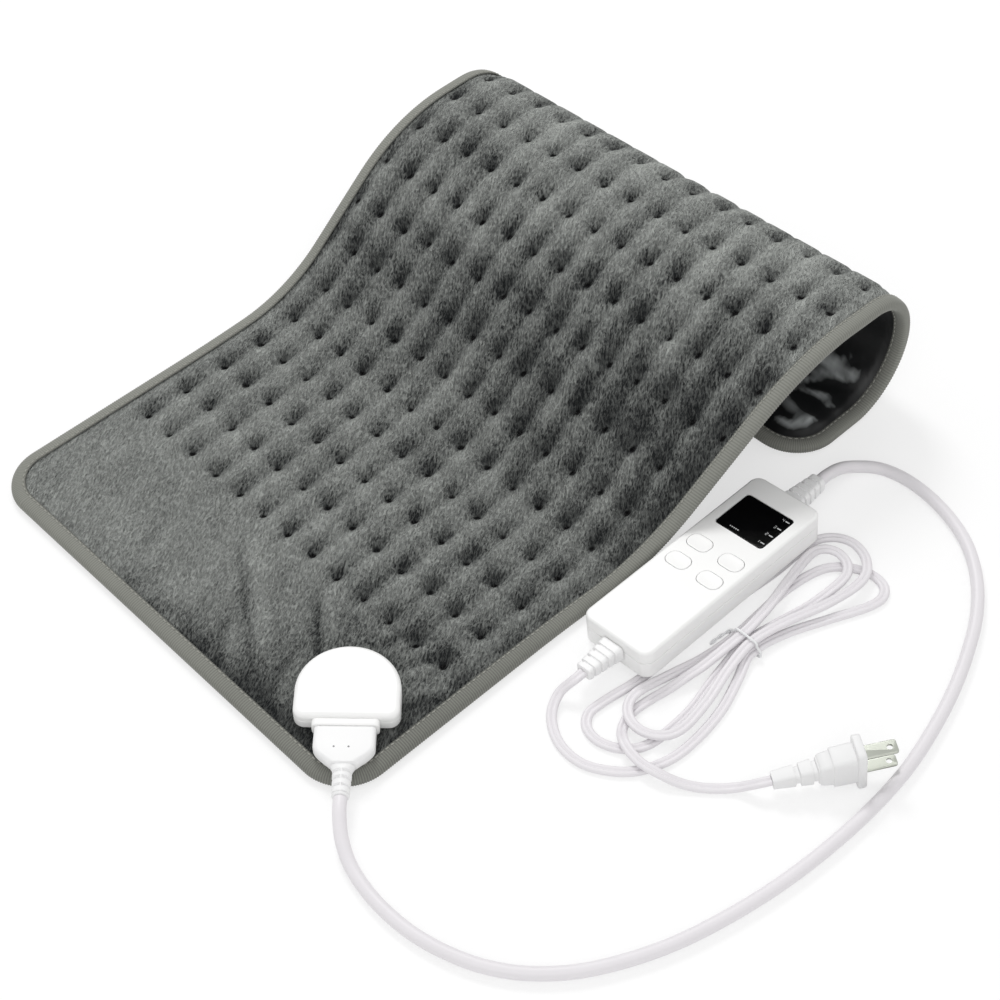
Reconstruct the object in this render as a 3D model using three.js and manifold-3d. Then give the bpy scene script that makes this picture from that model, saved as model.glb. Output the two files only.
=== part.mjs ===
// A tufted plush heating pad with a plug-in cord, a hand controller and a mains lead tied in a hank.
// Millimetres, +Z up. +X runs across the pad, +Y along it, away from the end that carries the socket.
// The origin is under the first row of tufts, on the pad's centre line, on the surface that it lies on.
import * as THREE from 'three';
import { mergeVertices } from 'three/addons/utils/BufferGeometryUtils.js';
import Module from 'manifold-3d';

const wasm = await Module();
wasm.setup();

// Driving dimensions: what several pieces share
const fitGap = 0.3;
const joinDepth = 1;
const rodSides = 12;
const padCordDiameter = 7;
const mainsWidth = 5.6;
const mainsThickness = 3;

// Driving dimensions: the pad's outline and the way it lies
const padFrontHalfWidth = 147;
const padTailHalfWidth = 160;
const padWidenStart = 133;
const padWidenEnd = 403;
const padCornerRadius = 28;
const frontStrip = 91;
const flatLength = 181;
const riseDegrees = 35;
const riseRadius = 114;
const crestHeight = 70;
const crestLength = 18;
const tailLength = 51;
const foldSpreadAlong = 9;
const foldSpreadUp = 15;

// Driving dimensions: tufts
const tuftColumns = 15;
const tailStrip = 20;
const tuftPitchAcross = 20.5;
const tuftPitchAlong = 27.8;

// Driving dimensions: the pad's layers, from the underside up
const backCoverThickness = 1.2;
const wireDiameter = 1.4;
const wireInset = 16;
const carrierThickness = 0.8;
const carrierInset = 12;
const carrierStart = 71;
const wireLeadStart = 65;
const tuftThickness = 0.7;
const ridgeRise = 2.2;
const crownRise = 3.4;
const plainThickness = 2.3;
const coverEdgeThickness = 0.9;

// Driving dimensions: binding tape round the pad's edge
const bindingWidth = 8;
const bindingWall = 0.9;
const bindingLift = 0.3;
const edgeSlopeShare = 0.12;

// Driving dimensions: the socket on the pad
const socketX = 116.8;
const socketY = -60.3;
const socketTurnDegrees = -45;
const socketHalfWidth = 27;
const socketStraight = 17.5;
const socketHeight = 10.4;
const socketWall = 2;
const socketBevel = 1.6;
const socketPlateInset = 1.5;
const socketRiserInset = 5.5;
const socketScrewX = 22;
const socketScrewY = 15;
const headerFront = 11.6;
const headerThickness = 3;
const headerWidth = 24;
const headerHeight = 7.8;
const socketBoardLength = 15;
const socketBoardWidth = 22;

// Driving dimensions: the connector that plugs into the socket
const noseWidth = 26;
const noseHeight = 6.2;
const mouthSill = 1.8;
const noseDepth = 11.2;
const collarWidth = 34;
const collarHeight = 8.8;
const collarDepth = 4;
const collarCorner = 2.4;
const connectorWidth = 31;
const connectorHeight = 8.4;
const connectorShoulderDepth = 12;
const connectorNeckDepth = 25;
const connectorReliefLength = 14.5;
const connectorReliefRadius = 5;
const connectorReliefTipRadius = 4.4;
const connectorRibDepth = 0.4;
const contactSpacing = 10;
const pinRadius = 0.8;
const pinReach = 9;
const sleeveRadius = 1.7;
const sleeveWall = 0.5;
const sleeveLength = 10.4;

// Driving dimensions: the controller's case
const caseX = 156;
const caseY = 138;
const caseTiltDegrees = 7;
const caseWidth = 46;
const caseLength = 138;
const caseHeight = 19;
const caseCorner = 6;
const caseBevel = 2;
const caseWall = 2;
const caseSplit = 11;
const screwInset = 6.6;
const screwBossRadius = 3.6;
const screwShankRadius = 1.3;
const screwHeadRadius = 2.5;
const screwHeadHeight = 1.6;
const screwRecess = 2.2;

// Driving dimensions: the controller's display and buttons
const displaySideMargin = 6.8;
const displayEndMargin = 15;
const displayLength = 27.6;
const displayLensThickness = 1.1;
const displayPocket = 1.5;
const displayLedge = 2.4;
const displayCorner = 2;
const displayModuleClear = 0.5;
const buttonSideClear = 1.65;
const buttonMiddleClear = 5.3;
const buttonLength = 10;
const buttonCorner = 4.4;
const buttonSpacingY = 16.8;
const buttonCentre = 0.5;
const buttonProud = 0.4;
const buttonEdge = 0.3;
const buttonFlange = 1.1;
const buttonFlangeThickness = 1;
const buttonTravel = 0.6;
const pressGap = 0.1;
const stemRadius = 2;
const switchSide = 6;
const switchBodyHeight = 3.4;
const plungerRadius = 1.7;
const plungerHeight = 1.1;

// Driving dimensions: the controller's circuit board and what stands on it
const boardSideClear = 3;
const boardEndClear = 3.8;
const boardCentre = 2;
const boardThickness = 1.6;
const boardHeight = 8;
const standoffRadius = 2.5;
const standoffInset = 5;
const fuseRadius = 2.6;
const fuseLength = 15;
const relayWidth = 15;
const relayLength = 11;
const relayHeight = 6.4;
const relayClear = 0.5;
const filmCapacitorWidth = 6;
const filmCapacitorLength = 13;
const filmCapacitorHeight = 6.2;
const filmCapacitorClear = 1.7;
const canRadius = 3.1;
const canHeight = 6.4;
const canEndClear = 13.4;
const fuseEndClear = 6.2;

// Driving dimensions: cord grips at the controller's ends
const gripHeight = 9.5;
const gripFlange = 2;
const gripFlangeDepth = 2.5;
const mainsGripLength = 22;
const padGripLength = 24;
const gripRibs = 4;
const gripRibDepth = 0.8;
const gripBaseHalfWidth = 7.4;
const gripBaseHalfHeight = 4.8;
const mainsGripTipHalfWidth = 4.8;
const mainsGripTipHalfHeight = 3.6;
const padGripTipRadius = 4.6;
const gripNeckHalfWidth = 4.6;
const gripNeckHalfHeight = 3.2;

// Driving dimensions: the mains cord's hank and its tie, from the waist
const waistX = 219;
const waistY = 125;
const strandGap = 1.1;
const layerGap = 0.8;
const cordFloorGap = 0.1;
const bypassAcross = 24;
const tieRadius = 0.7;
const tieClear = 0.35;
const tieTailHalfWidth = 1.1;
const tieTailHalfThickness = 0.6;

// Driving dimensions: the mains plug
const plugX = 311.5;
const plugY = 105.4;
const plugTurnDegrees = 56;
const plugTiltDegrees = 7;
const plugFlangeWidth = 16;
const plugFlangeHeight = 29;
const plugFlangeDepth = 4.5;
const plugFlangeCorner = 3;
const plugFlangeBevel = 0.6;
const plugBodyWidth = 13.5;
const plugBodyHeight = 20;
const plugBodyDepth = 18;
const plugGripLength = 23.5;
const plugGripRibs = 5;
const plugGripRibDepth = 1;
const plugGripHalfWidth = 5;
const plugGripHalfHeight = 6.2;
const plugTipHalfWidth = 3.8;
const plugTipHalfHeight = 3.6;
const bladeSpacing = 12.7;
const bladeThickness = 1.5;
const bladeWidth = 6.35;
const wideBladeWidth = 7.9;
const bladeCorner = 1.4;
const bladeReach = 17;
const bladeRoot = 9;
const bladeHoleRadius = 1.6;
const bladeHoleSetback = 3.8;

// Derived values: the pad's heights and its length along the underside
const degree = Math.PI / 180;
const wireBase = backCoverThickness + fitGap;
const carrierBase = wireBase + wireDiameter + fitGap;
const coverBase = carrierBase + carrierThickness + fitGap;
const tuftTop = coverBase + tuftThickness;
const crownTop = tuftTop + crownRise;
const plainTop = coverBase + plainThickness;
const edgeTop = coverBase + coverEdgeThickness;
const rimLift = bindingLift + bindingWall + fitGap;
const coverInset = bindingWall + fitGap;
const foldRadius = (crestHeight - crownTop - fitGap) / 2;
const rise = riseDegrees * degree;
const riseStraight = (crestHeight - 2 * riseRadius * (1 - Math.cos(rise))) / Math.sin(rise);
const stretches = [
  { length: flatLength, turn: 0 },
  { length: riseRadius * rise, turn: rise },
  { length: riseStraight, turn: 0 },
  { length: riseRadius * rise, turn: -rise },
  { length: crestLength, turn: 0 },
  { length: foldRadius * Math.PI, turn: -Math.PI },
  { length: tailLength, turn: 0 },
];
const padLength = stretches.reduce((sum, stretch) => sum + stretch.length, 0);
const tuftRows = Math.floor((padLength - frontStrip - tailStrip) / tuftPitchAlong) + 1;
const lastRow = frontStrip + (tuftRows - 1) * tuftPitchAlong;
const cornerTurns = [0, Math.PI / 4, Math.PI / 2];

// Materials
const finish = (color, roughness, metalness = 0) =>
  new THREE.MeshStandardMaterial({ color, roughness, metalness });
const plush = finish(0x646765, 0.95);
const backing = finish(0x3c3e3f, 0.8);
const tape = finish(0x75756d, 0.85);
const felt = finish(0xd8d4c8, 0.95);
const silicone = finish(0xb83a2e, 0.5);
const whitePlastic = finish(0xf2f2f0, 0.4);
const buttonPlastic = finish(0xf4f4f2, 0.35);
const whiteRubber = finish(0xeceaec, 0.5);
const darkGlass = finish(0x050506, 0.08);
const circuitGreen = finish(0x1f5a35, 0.6);
const darkPlastic = finish(0x222224, 0.5);
const steel = finish(0xb9bcc0, 0.3, 1);
const nickel = finish(0xd8d6c8, 0.25, 1);

const part = new THREE.Group();

function addMesh(parent, name, geometry, material) {
  const mesh = new THREE.Mesh(geometry, material);
  mesh.name = name;
  parent.add(mesh);
  return mesh;
}

// Joining and cutting solids
function solid(geometry) {
  const bare = geometry.clone();
  bare.deleteAttribute('normal');
  bare.deleteAttribute('uv');
  const merged = mergeVertices(bare);
  return new wasm.Manifold(new wasm.Mesh({
    numProp: 3,
    vertProperties: merged.attributes.position.array,
    triVerts: new Uint32Array(merged.index.array),
  }));
}

function geometryOf(manifold) {
  const mesh = manifold.getMesh();
  const geometry = new THREE.BufferGeometry();
  geometry.setAttribute('position', new THREE.BufferAttribute(mesh.vertProperties, 3));
  geometry.setIndex(new THREE.BufferAttribute(mesh.triVerts, 1));
  geometry.computeVertexNormals();
  return geometry;
}

function join(first, ...others) {
  return geometryOf(others.reduce((sum, other) => sum.add(solid(other)), solid(first)));
}

function cut(first, ...tools) {
  return geometryOf(tools.reduce((rest, tool) => rest.subtract(solid(tool)), solid(first)));
}

function common(first, second) {
  return geometryOf(solid(first).intersect(solid(second)));
}

// Blocks, rods and plates
function block(x0, x1, y0, y1, z0, z1) {
  const box = new THREE.BoxGeometry(x1 - x0, y1 - y0, z1 - z0);
  return box.translate((x0 + x1) / 2, (y0 + y1) / 2, (z0 + z1) / 2);
}

function centredBlock(x, y, width, length, z0, z1) {
  return block(x - width / 2, x + width / 2, y - length / 2, y + length / 2, z0, z1);
}

function rod(radius, z0, z1, x = 0, y = 0) {
  const cylinder = new THREE.CylinderGeometry(radius, radius, z1 - z0, rodSides);
  return cylinder.rotateX(Math.PI / 2).translate(x, y, (z0 + z1) / 2);
}

function rodAlongX(radius, x0, x1, y, z) {
  return rod(radius, x0, x1).rotateY(Math.PI / 2).translate(0, y, z);
}

function roundedRect(width, length, radius) {
  const [x, y] = [width / 2 - radius, length / 2 - radius];
  const shape = new THREE.Shape();
  shape.absarc(x, y, radius, 0, Math.PI / 2);
  shape.absarc(-x, y, radius, Math.PI / 2, Math.PI);
  shape.absarc(-x, -y, radius, Math.PI, Math.PI * 1.5);
  shape.absarc(x, -y, radius, Math.PI * 1.5, Math.PI * 2);
  shape.closePath();
  return shape;
}

// The socket's outline: a flat side towards +X, straight flanks and a round back
function dShape(inset) {
  const radius = socketHalfWidth - inset;
  const shape = new THREE.Shape();
  shape.moveTo(-inset, -radius);
  shape.lineTo(-inset, radius);
  shape.lineTo(-socketStraight, radius);
  shape.absarc(-socketStraight, 0, radius, Math.PI / 2, Math.PI * 1.5);
  shape.closePath();
  return shape;
}

function plate(shape, z0, z1, bevel = 0, curveSegments = 2) {
  const geometry = new THREE.ExtrudeGeometry(shape, {
    depth: z1 - z0 - bevel * 2,
    curveSegments,
    bevelEnabled: bevel > 0,
    bevelThickness: bevel,
    bevelSize: bevel,
    bevelOffset: -bevel,
    bevelSegments: 2,
  });
  return geometry.translate(0, 0, z0 + bevel);
}

// A plate that stands across the X axis
function crossPlate(shape, x0, x1, bevel = 0) {
  return plate(shape, x0, x1, bevel).rotateZ(Math.PI / 2).rotateY(Math.PI / 2);
}

// A solid through rings of equal point counts. Its last ring may meet the first. Its ends are filled
// between a ring's first points, which are its lower side, and the rest, which run back over it.
function loft(rings, { closed = false, lowerCount = 1 } = {}) {
  const count = rings[0].length;
  const positions = rings.flatMap((ring) => ring.flatMap((p) => [p.x, p.y, p.z]));
  const index = [];
  const spans = closed ? rings.length : rings.length - 1;
  for (let r = 0; r < spans; r++) {
    const [near, far] = [r * count, ((r + 1) % rings.length) * count];
    for (let i = 0; i < count; i++) {
      const j = (i + 1) % count;
      index.push(near + i, near + j, far + j, near + i, far + j, far + i);
    }
  }
  const last = (rings.length - 1) * count;
  const upperCount = count - lowerCount;
  let [low, high] = [0, 0];
  while (!closed && (low < lowerCount - 1 || high < upperCount - 1)) {
    const [a, b] = [low, count - 1 - high];
    const lowNext = (low + 1) / lowerCount <= (high + 1) / upperCount;
    const stepLow = high === upperCount - 1 || (low < lowerCount - 1 && lowNext);
    if (stepLow) low++;
    else high++;
    const next = stepLow ? low : count - 1 - high;
    index.push(a, b, next, last + a, last + next, last + b);
  }
  const geometry = new THREE.BufferGeometry();
  geometry.setAttribute('position', new THREE.Float32BufferAttribute(positions, 3));
  geometry.setIndex(index);
  if (signedVolume(geometry) < 0) turnOver(geometry);
  return geometry;
}

function signedVolume(geometry) {
  const [index, position] = [geometry.index.array, geometry.attributes.position];
  const corner = [0, 1, 2].map(() => new THREE.Vector3());
  let volume = 0;
  for (let i = 0; i < index.length; i += 3) {
    corner.forEach((p, k) => p.fromBufferAttribute(position, index[i + k]));
    volume += corner[0].dot(corner[1].clone().cross(corner[2])) / 6;
  }
  return volume;
}

function turnOver(geometry) {
  const index = geometry.index.array;
  for (let i = 0; i < index.length; i += 3) [index[i], index[i + 1]] = [index[i + 1], index[i]];
}

// A section carried along points, with its own up direction at each of them
function sweep(points, ups, section, closed = false) {
  const at = (i) => (closed
    ? points[(i + points.length) % points.length]
    : points[THREE.MathUtils.clamp(i, 0, points.length - 1)]);
  const rings = points.map((point, i) => {
    const along = at(i + 1).clone().sub(at(i - 1)).normalize();
    const side = along.clone().cross(ups[i]).normalize();
    const up = side.clone().cross(along).normalize();
    return section.map(([x, y]) => point.clone().addScaledVector(side, x).addScaledVector(up, y));
  });
  return loft(rings, { closed });
}

function roundSection(radius, sides) {
  const reach = radius / Math.cos(Math.PI / sides);
  return Array.from({ length: sides }, (_, k) => {
    const angle = (k + 0.5) / sides * Math.PI * 2;
    return [Math.cos(angle) * reach, Math.sin(angle) * reach];
  });
}

// Eight corners of an upright rectangle whose own corners are cut off
const cutCornerShare = 0.45;
function eightCorners(halfWidth, halfHeight) {
  const cutBack = Math.min(halfWidth, halfHeight) * cutCornerShare;
  const [x, y] = [halfWidth - cutBack, halfHeight - cutBack];
  return [[halfWidth, y], [x, halfHeight], [-x, halfHeight], [-halfWidth, y],
    [-halfWidth, -y], [-x, -halfHeight], [x, -halfHeight], [halfWidth, -y]];
}

const crossRing = (x, halfWidth, halfHeight) =>
  eightCorners(halfWidth, halfHeight).map(([y, z]) => new THREE.Vector3(x, y, z));

// A tapering grip along +X with grooves round it, from base half sizes to tip half sizes
const gripPlainShare = 0.16;
const grooveStartShare = 0.14;
const grooveEndShare = 0.36;
const ribStartShare = 0.5;
function ribbedGrip(base, tip, length, ribs, ribDepth) {
  const ringAt = (share, depth) => crossRing(
    share * length,
    THREE.MathUtils.lerp(base[0], tip[0], share) - depth,
    THREE.MathUtils.lerp(base[1], tip[1], share) - depth,
  );
  const rings = [ringAt(0, 0)];
  const pitchShare = (1 - gripPlainShare) / ribs;
  for (let rib = 0; rib < ribs; rib++) {
    const start = gripPlainShare + rib * pitchShare;
    rings.push(
      ringAt(start, 0),
      ringAt(start + grooveStartShare * pitchShare, ribDepth),
      ringAt(start + grooveEndShare * pitchShare, ribDepth),
      ringAt(start + ribStartShare * pitchShare, 0),
    );
  }
  rings.push(ringAt(1, 0));
  return loft(rings);
}

const upwards = new THREE.Vector3(0, 0, 1);

// A cord's line through chosen points, which carries its section level
class CordCurve extends THREE.CatmullRomCurve3 {
  constructor(points) {
    super(points, false, 'centripetal');
  }

  computeFrenetFrames(segments) {
    const tangents = Array.from({ length: segments + 1 }, (_, i) => this.getTangentAt(i / segments));
    const normals = tangents.map((tangent) => tangent.clone().cross(upwards).normalize());
    const binormals = tangents.map((tangent, i) => tangent.clone().cross(normals[i]));
    return { tangents, normals, binormals };
  }
}

// The pad's underside as a bent line: where it is after a run s
function profilePoint(s) {
  let [y, z, heading, left] = [-frontStrip, 0, 0, s];
  for (const { length, turn } of stretches) {
    const run = Math.min(left, length);
    const swept = turn * run / length;
    if (turn === 0) {
      y += run * Math.cos(heading);
      z += run * Math.sin(heading);
    } else {
      const radius = length / turn;
      y += radius * (Math.sin(heading + swept) - Math.sin(heading));
      z -= radius * (Math.cos(heading + swept) - Math.cos(heading));
    }
    heading += swept;
    left -= run;
  }
  return { y, z };
}

// The fold stands further along and higher at its right end: how much of that a line takes
const foldEnd = padLength - tailLength;
const foldStart = foldEnd - foldRadius * Math.PI;
function spreadAt(s) {
  const risen = THREE.MathUtils.smoothstep(s, flatLength, foldStart - crestLength);
  const lowered = THREE.MathUtils.smoothstep(s, foldStart, foldEnd);
  return { spreadY: foldSpreadAlong * risen, spreadZ: foldSpreadUp * risen * (1 - lowered) };
}

// Lines across the pad that all its layers share, with an offset direction that keeps them parallel
function padLines() {
  const runs = cornerTurns.map((turn) => padCornerRadius * (1 - Math.cos(turn)));
  for (let i = 0; i <= 2 * (tuftRows - 1); i++) runs.push(frontStrip + i * tuftPitchAlong / 2);
  const tailTurns = cornerTurns.slice(0, 2).reverse();
  tailTurns.forEach((turn) => runs.push(padLength - padCornerRadius * (1 - Math.cos(turn))));
  const points = runs.map((s) => ({ s, ...profilePoint(s), ...spreadAt(s) }));
  const facing = (i) => {
    const [a, b] = [points[i], points[i + 1]];
    const size = Math.hypot(b.y - a.y, b.z - a.z);
    return [-(b.z - a.z) / size, (b.y - a.y) / size];
  };
  return points.map((point, i) => {
    const before = facing(Math.max(i - 1, 0));
    const after = facing(Math.min(i, points.length - 2));
    const scale = 1 / (1 + before[0] * after[0] + before[1] * after[1]);
    return { ...point, offsetY: (before[0] + after[0]) * scale, offsetZ: (before[1] + after[1]) * scale };
  });
}

const lines = padLines();

// A point of the pad: x across, s along the underside, n out of it on the tufted side
function padPoint(x, s, n) {
  let k = 0;
  while (k < lines.length - 2 && lines[k + 1].s < s) k++;
  const [a, b] = [lines[k], lines[k + 1]];
  const t = (s - a.s) / (b.s - a.s);
  const right = (1 + x / padTailHalfWidth) / 2;
  const onLine = (line) => new THREE.Vector3(x,
    line.y + line.spreadY * right + line.offsetY * n, line.z + line.spreadZ * right + line.offsetZ * n);
  return onLine(a).lerp(onLine(b), t);
}

function halfWidthAt(s) {
  const widened = THREE.MathUtils.smoothstep(s, padWidenStart, padWidenEnd);
  return THREE.MathUtils.lerp(padFrontHalfWidth, padTailHalfWidth, widened);
}

const fromEnd = (s) => Math.min(s, padLength - s);

// Where a line meets the pad's outline, or a curve that runs inside it
function edgeSpot(line, inset) {
  const halfWidth = halfWidthAt(line.s);
  const depth = fromEnd(line.s);
  if (depth >= padCornerRadius) return { x: halfWidth - inset, s: line.s };
  const turn = Math.acos(1 - depth / padCornerRadius);
  const reach = padCornerRadius - inset;
  const along = padCornerRadius - reach * Math.cos(turn);
  return {
    x: halfWidth - padCornerRadius + reach * Math.sin(turn),
    s: line.s < padLength / 2 ? along : padLength - along,
  };
}

// How far a point of the pad lies inside its outline, whose round corners have flats
const cornerFlat = Math.cos((cornerTurns[1] - cornerTurns[0]) / 2);
function insideBy(x, s) {
  const halfWidth = halfWidthAt(s);
  const across = Math.abs(x) - (halfWidth - padCornerRadius);
  const along = padCornerRadius - fromEnd(s);
  if (across <= 0 || along <= 0) return Math.min(halfWidth - Math.abs(x), fromEnd(s));
  return padCornerRadius * cornerFlat - Math.hypot(across, along);
}

// A closed layer of the pad from rows of columns: x across, s along, base under it and top over it
function layer(rows) {
  const rings = rows.map((row) => {
    const lower = row.filter((c) => c.base !== undefined).map((c) => padPoint(c.x, c.s, c.base));
    const upper = row.filter((c) => c.top !== undefined).map((c) => padPoint(c.x, c.s, c.top));
    return [...lower, ...upper.reverse()];
  });
  const lowerCount = rows[0].filter((c) => c.base !== undefined).length;
  return loft(rings, { lowerCount });
}

const runOnLine = (line) => (fromEnd(line.s) === 0 ? edgeSpot(line, coverInset).s : line.s);

// Top cover: plush, sewn down in tufts that leave a round crown between each four of them
function tuftRise(line, column) {
  const plainRise = plainThickness - tuftThickness;
  if (line.s < frontStrip || line.s > lastRow) return plainRise;
  const onRow = Math.round((line.s - frontStrip) / (tuftPitchAlong / 2)) % 2 === 0;
  const onColumn = column % 2 === 0;
  if (onRow && onColumn) return 0;
  if (line.s === frontStrip) return plainRise;
  return onRow || onColumn ? ridgeRise : crownRise;
}

const columnsPerBase = 4;
function topCoverRow(line) {
  const edge = edgeSpot(line, coverInset);
  const s = runOnLine(line);
  const limit = Math.min(edgeSpot(line, bindingWidth + fitGap).x, edge.x - bindingWidth / 2);
  const reach = (tuftColumns - 1) / 2 * tuftPitchAcross;
  const squeeze = Math.min(1, (limit - bindingWidth / 2) / (reach - tuftPitchAcross / 2));
  const lastColumn = 2 * (tuftColumns - 1);
  const columns = [{ x: -edge.x, s: edge.s, base: coverBase, top: edgeTop }];
  for (let i = 0; i <= lastColumn; i++) {
    const x = THREE.MathUtils.clamp((i * tuftPitchAcross / 2 - reach) * squeeze, -limit, limit);
    const full = tuftTop + tuftRise(line, i);
    const underTape = edgeTop + edgeSlopeShare * Math.max(0, insideBy(x, s) - coverInset);
    const nearTape = i === 0 || i === lastColumn || fromEnd(s) < padCornerRadius / 2;
    const base = i % columnsPerBase === 0 ? coverBase : undefined;
    columns.push({ x, s, base, top: nearTape ? Math.min(full, underTape) : full });
  }
  columns.push({ x: edge.x, s: edge.s, base: coverBase, top: edgeTop });
  return columns;
}

// Columns of the flat sheets, as shares of half their width
const sheetShares = [-1, -0.75, -0.5, -0.25, 0, 0.25, 0.5, 0.75, 1];

// Back cover: a flat sheet whose rim is drawn up into the binding
function backCoverRow(line) {
  const edge = edgeSpot(line, coverInset);
  const s = runOnLine(line);
  const cornerLine = fromEnd(line.s) <= padCornerRadius;
  const inner = cornerLine ? halfWidthAt(line.s) - padCornerRadius : edge.x - bindingWidth;
  const fold = inner - bindingWidth / 2;
  const middle = fromEnd(line.s) < padCornerRadius / 2 ? rimLift : 0;
  const column = (x, lift, run) => ({ x, s: run, base: lift, top: lift + backCoverThickness });
  return [column(-edge.x, rimLift, edge.s), column(-inner, rimLift, s),
    ...sheetShares.map((share) => column(share * fold, middle, s)),
    column(inner, rimLift, s), column(edge.x, rimLift, edge.s)];
}

// Binding: a folded tape round the whole edge, open towards the layers inside it
function bindingRing(line, way) {
  const lipRise = edgeSlopeShare * (bindingWidth - coverInset);
  const lipBase = edgeTop + fitGap;
  const corners = [
    [0, bindingLift], [0, lipBase + bindingWall],
    [bindingWidth, lipBase + lipRise + bindingWall], [bindingWidth, lipBase + lipRise],
    [bindingWall, lipBase], [bindingWall, bindingLift + bindingWall],
    [bindingWidth, bindingLift + bindingWall], [bindingWidth, bindingLift],
  ];
  return corners.map(([inset, n]) => {
    const spot = edgeSpot(line, inset);
    return padPoint(way * spot.x, spot.s, n);
  });
}

// Carrier cloth that the heating wire is sewn to
function carrierRow(s) {
  const x = halfWidthAt(s) - carrierInset;
  const top = carrierBase + carrierThickness;
  return sheetShares.map((share) => ({ x: share * x, s, base: carrierBase, top }));
}

// Heating wire: one run between each two rows of tufts, joined by half rounds
const wireSides = 5;
const wireTurnSteps = 6;
const leadAcrossShares = [0.577, 0.55, 0.495, 0.426];
const leadAlongShares = [0, 0.55, 0.92, 1];
function heatingWire() {
  const level = wireBase + wireDiameter / 2;
  const turn = tuftPitchAlong / 2;
  const firstRun = frontStrip - turn;
  const places = leadAcrossShares.map((share, i) => [
    share * padFrontHalfWidth,
    THREE.MathUtils.lerp(wireLeadStart, firstRun, leadAlongShares[i]),
  ]);
  for (let row = 0; row < tuftRows; row++) {
    const s = firstRun + row * tuftPitchAlong;
    const reach = halfWidthAt(s) - wireInset - turn;
    const way = row % 2 === 0 ? -1 : 1;
    if (row > 0) places.push([-way * reach, s]);
    places.push([way * reach, s]);
    for (let i = 1; i < wireTurnSteps && row + 1 < tuftRows; i++) {
      const angle = i / wireTurnSteps * Math.PI;
      places.push([way * (reach + turn * Math.sin(angle)), s + turn * (1 - Math.cos(angle))]);
    }
  }
  const points = places.map(([x, s]) => padPoint(x, s, level));
  const ups = places.map(([x, s], i) => padPoint(x, s, level + wireDiameter).sub(points[i]));
  return sweep(points, ups, roundSection(wireDiameter / 2, wireSides));
}

// Socket, in its own frame: +X out through its mouth, z from the surface that the pad lies on
const socket = new THREE.Group();
socket.position.set(socketX, socketY, 0);
socket.rotation.z = socketTurnDegrees * degree;
part.add(socket);
const socketCurve = 6;
const socketBase = plainTop + fitGap;
const socketTop = socketBase + socketHeight;
const contactHeight = socketBase + mouthSill + noseHeight / 2;
const plateBase = rimLift + backCoverThickness + fitGap;
const plateTop = coverBase - fitGap;
const riserTop = socketBase - fitGap;
const socketScrewPlaces = [-1, 1].map((side) => [-socketScrewX, side * socketScrewY]);
const contactPlaces = [['left', -contactSpacing / 2], ['right', contactSpacing / 2]];

function coverOpening() {
  return plate(dShape(socketRiserInset - fitGap), 0, socketBase, 0, socketCurve)
    .rotateZ(socket.rotation.z).translate(socketX, socketY, 0);
}

function socketShell() {
  const start = socketBase - socketBevel * 2;
  const outer = plate(dShape(0), start, socketTop, socketBevel, socketCurve);
  const below = centredBlock(-socketHalfWidth, 0, socketHalfWidth * 4, socketHalfWidth * 4,
    start - joinDepth, socketBase);
  const inner = plate(dShape(socketWall), start, socketTop - socketWall, 0, socketCurve);
  const mouth = block(-socketWall - joinDepth, joinDepth, -noseWidth / 2 - fitGap, noseWidth / 2 + fitGap,
    contactHeight - noseHeight / 2 - fitGap, contactHeight + noseHeight / 2 + fitGap);
  const bosses = socketScrewPlaces.map(([x, y]) =>
    rod(screwBossRadius, socketBase, socketTop - socketWall / 2, x, y));
  const holes = socketScrewPlaces.map(([x, y]) =>
    rod(screwShankRadius + fitGap, socketBase - joinDepth, socketTop - socketWall, x, y));
  return cut(join(cut(outer, below, inner), ...bosses), mouth, ...holes);
}

function socketPlate() {
  const foot = plate(dShape(socketPlateInset), plateBase, plateTop, 0, socketCurve);
  const riser = plate(dShape(socketRiserInset), plateBase, riserTop, 0, socketCurve);
  const tools = socketScrewPlaces.flatMap(([x, y]) => [
    rod(screwHeadRadius + fitGap, plateBase - joinDepth, plateBase + screwRecess, x, y),
    rod(screwShankRadius + fitGap, plateBase, riserTop + joinDepth, x, y),
  ]);
  return cut(join(foot, riser), ...tools);
}

function screw(x, y, recessTop, top) {
  const head = rod(screwHeadRadius, recessTop - screwHeadHeight, recessTop, x, y);
  return join(head, rod(screwShankRadius, recessTop - screwHeadHeight / 2, top, x, y));
}

function buildSocket() {
  addMesh(socket, 'socket_top_shell', socketShell(), whitePlastic);
  addMesh(socket, 'socket_base_plate', socketPlate(), whitePlastic);
  socketScrewPlaces.forEach(([x, y], i) => {
    const geometry = screw(x, y, plateBase + screwRecess - fitGap, socketTop - socketWall - fitGap);
    addMesh(socket, `socket_screw_${i + 1}`, geometry, steel);
  });
  const headerBack = -headerFront - headerThickness;
  const header = block(headerBack, -headerFront, -headerWidth / 2, headerWidth / 2,
    socketBase, socketBase + headerHeight);
  const pinHoles = contactPlaces.map(([, y]) =>
    rodAlongX(pinRadius + fitGap, headerBack - joinDepth, -headerFront + joinDepth, y, contactHeight));
  addMesh(socket, 'socket_header', cut(header, ...pinHoles), darkPlastic);
  const boardFront = headerBack - fitGap;
  const board = block(boardFront - socketBoardLength, boardFront, -socketBoardWidth / 2, socketBoardWidth / 2,
    socketBase, socketBase + boardThickness);
  addMesh(socket, 'socket_board', board, circuitGreen);
  contactPlaces.forEach(([name, y]) => {
    const pin = rodAlongX(pinRadius, headerBack, -headerFront + pinReach, y, contactHeight);
    addMesh(socket, `socket_pin_${name}`, pin, nickel);
  });
}

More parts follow.
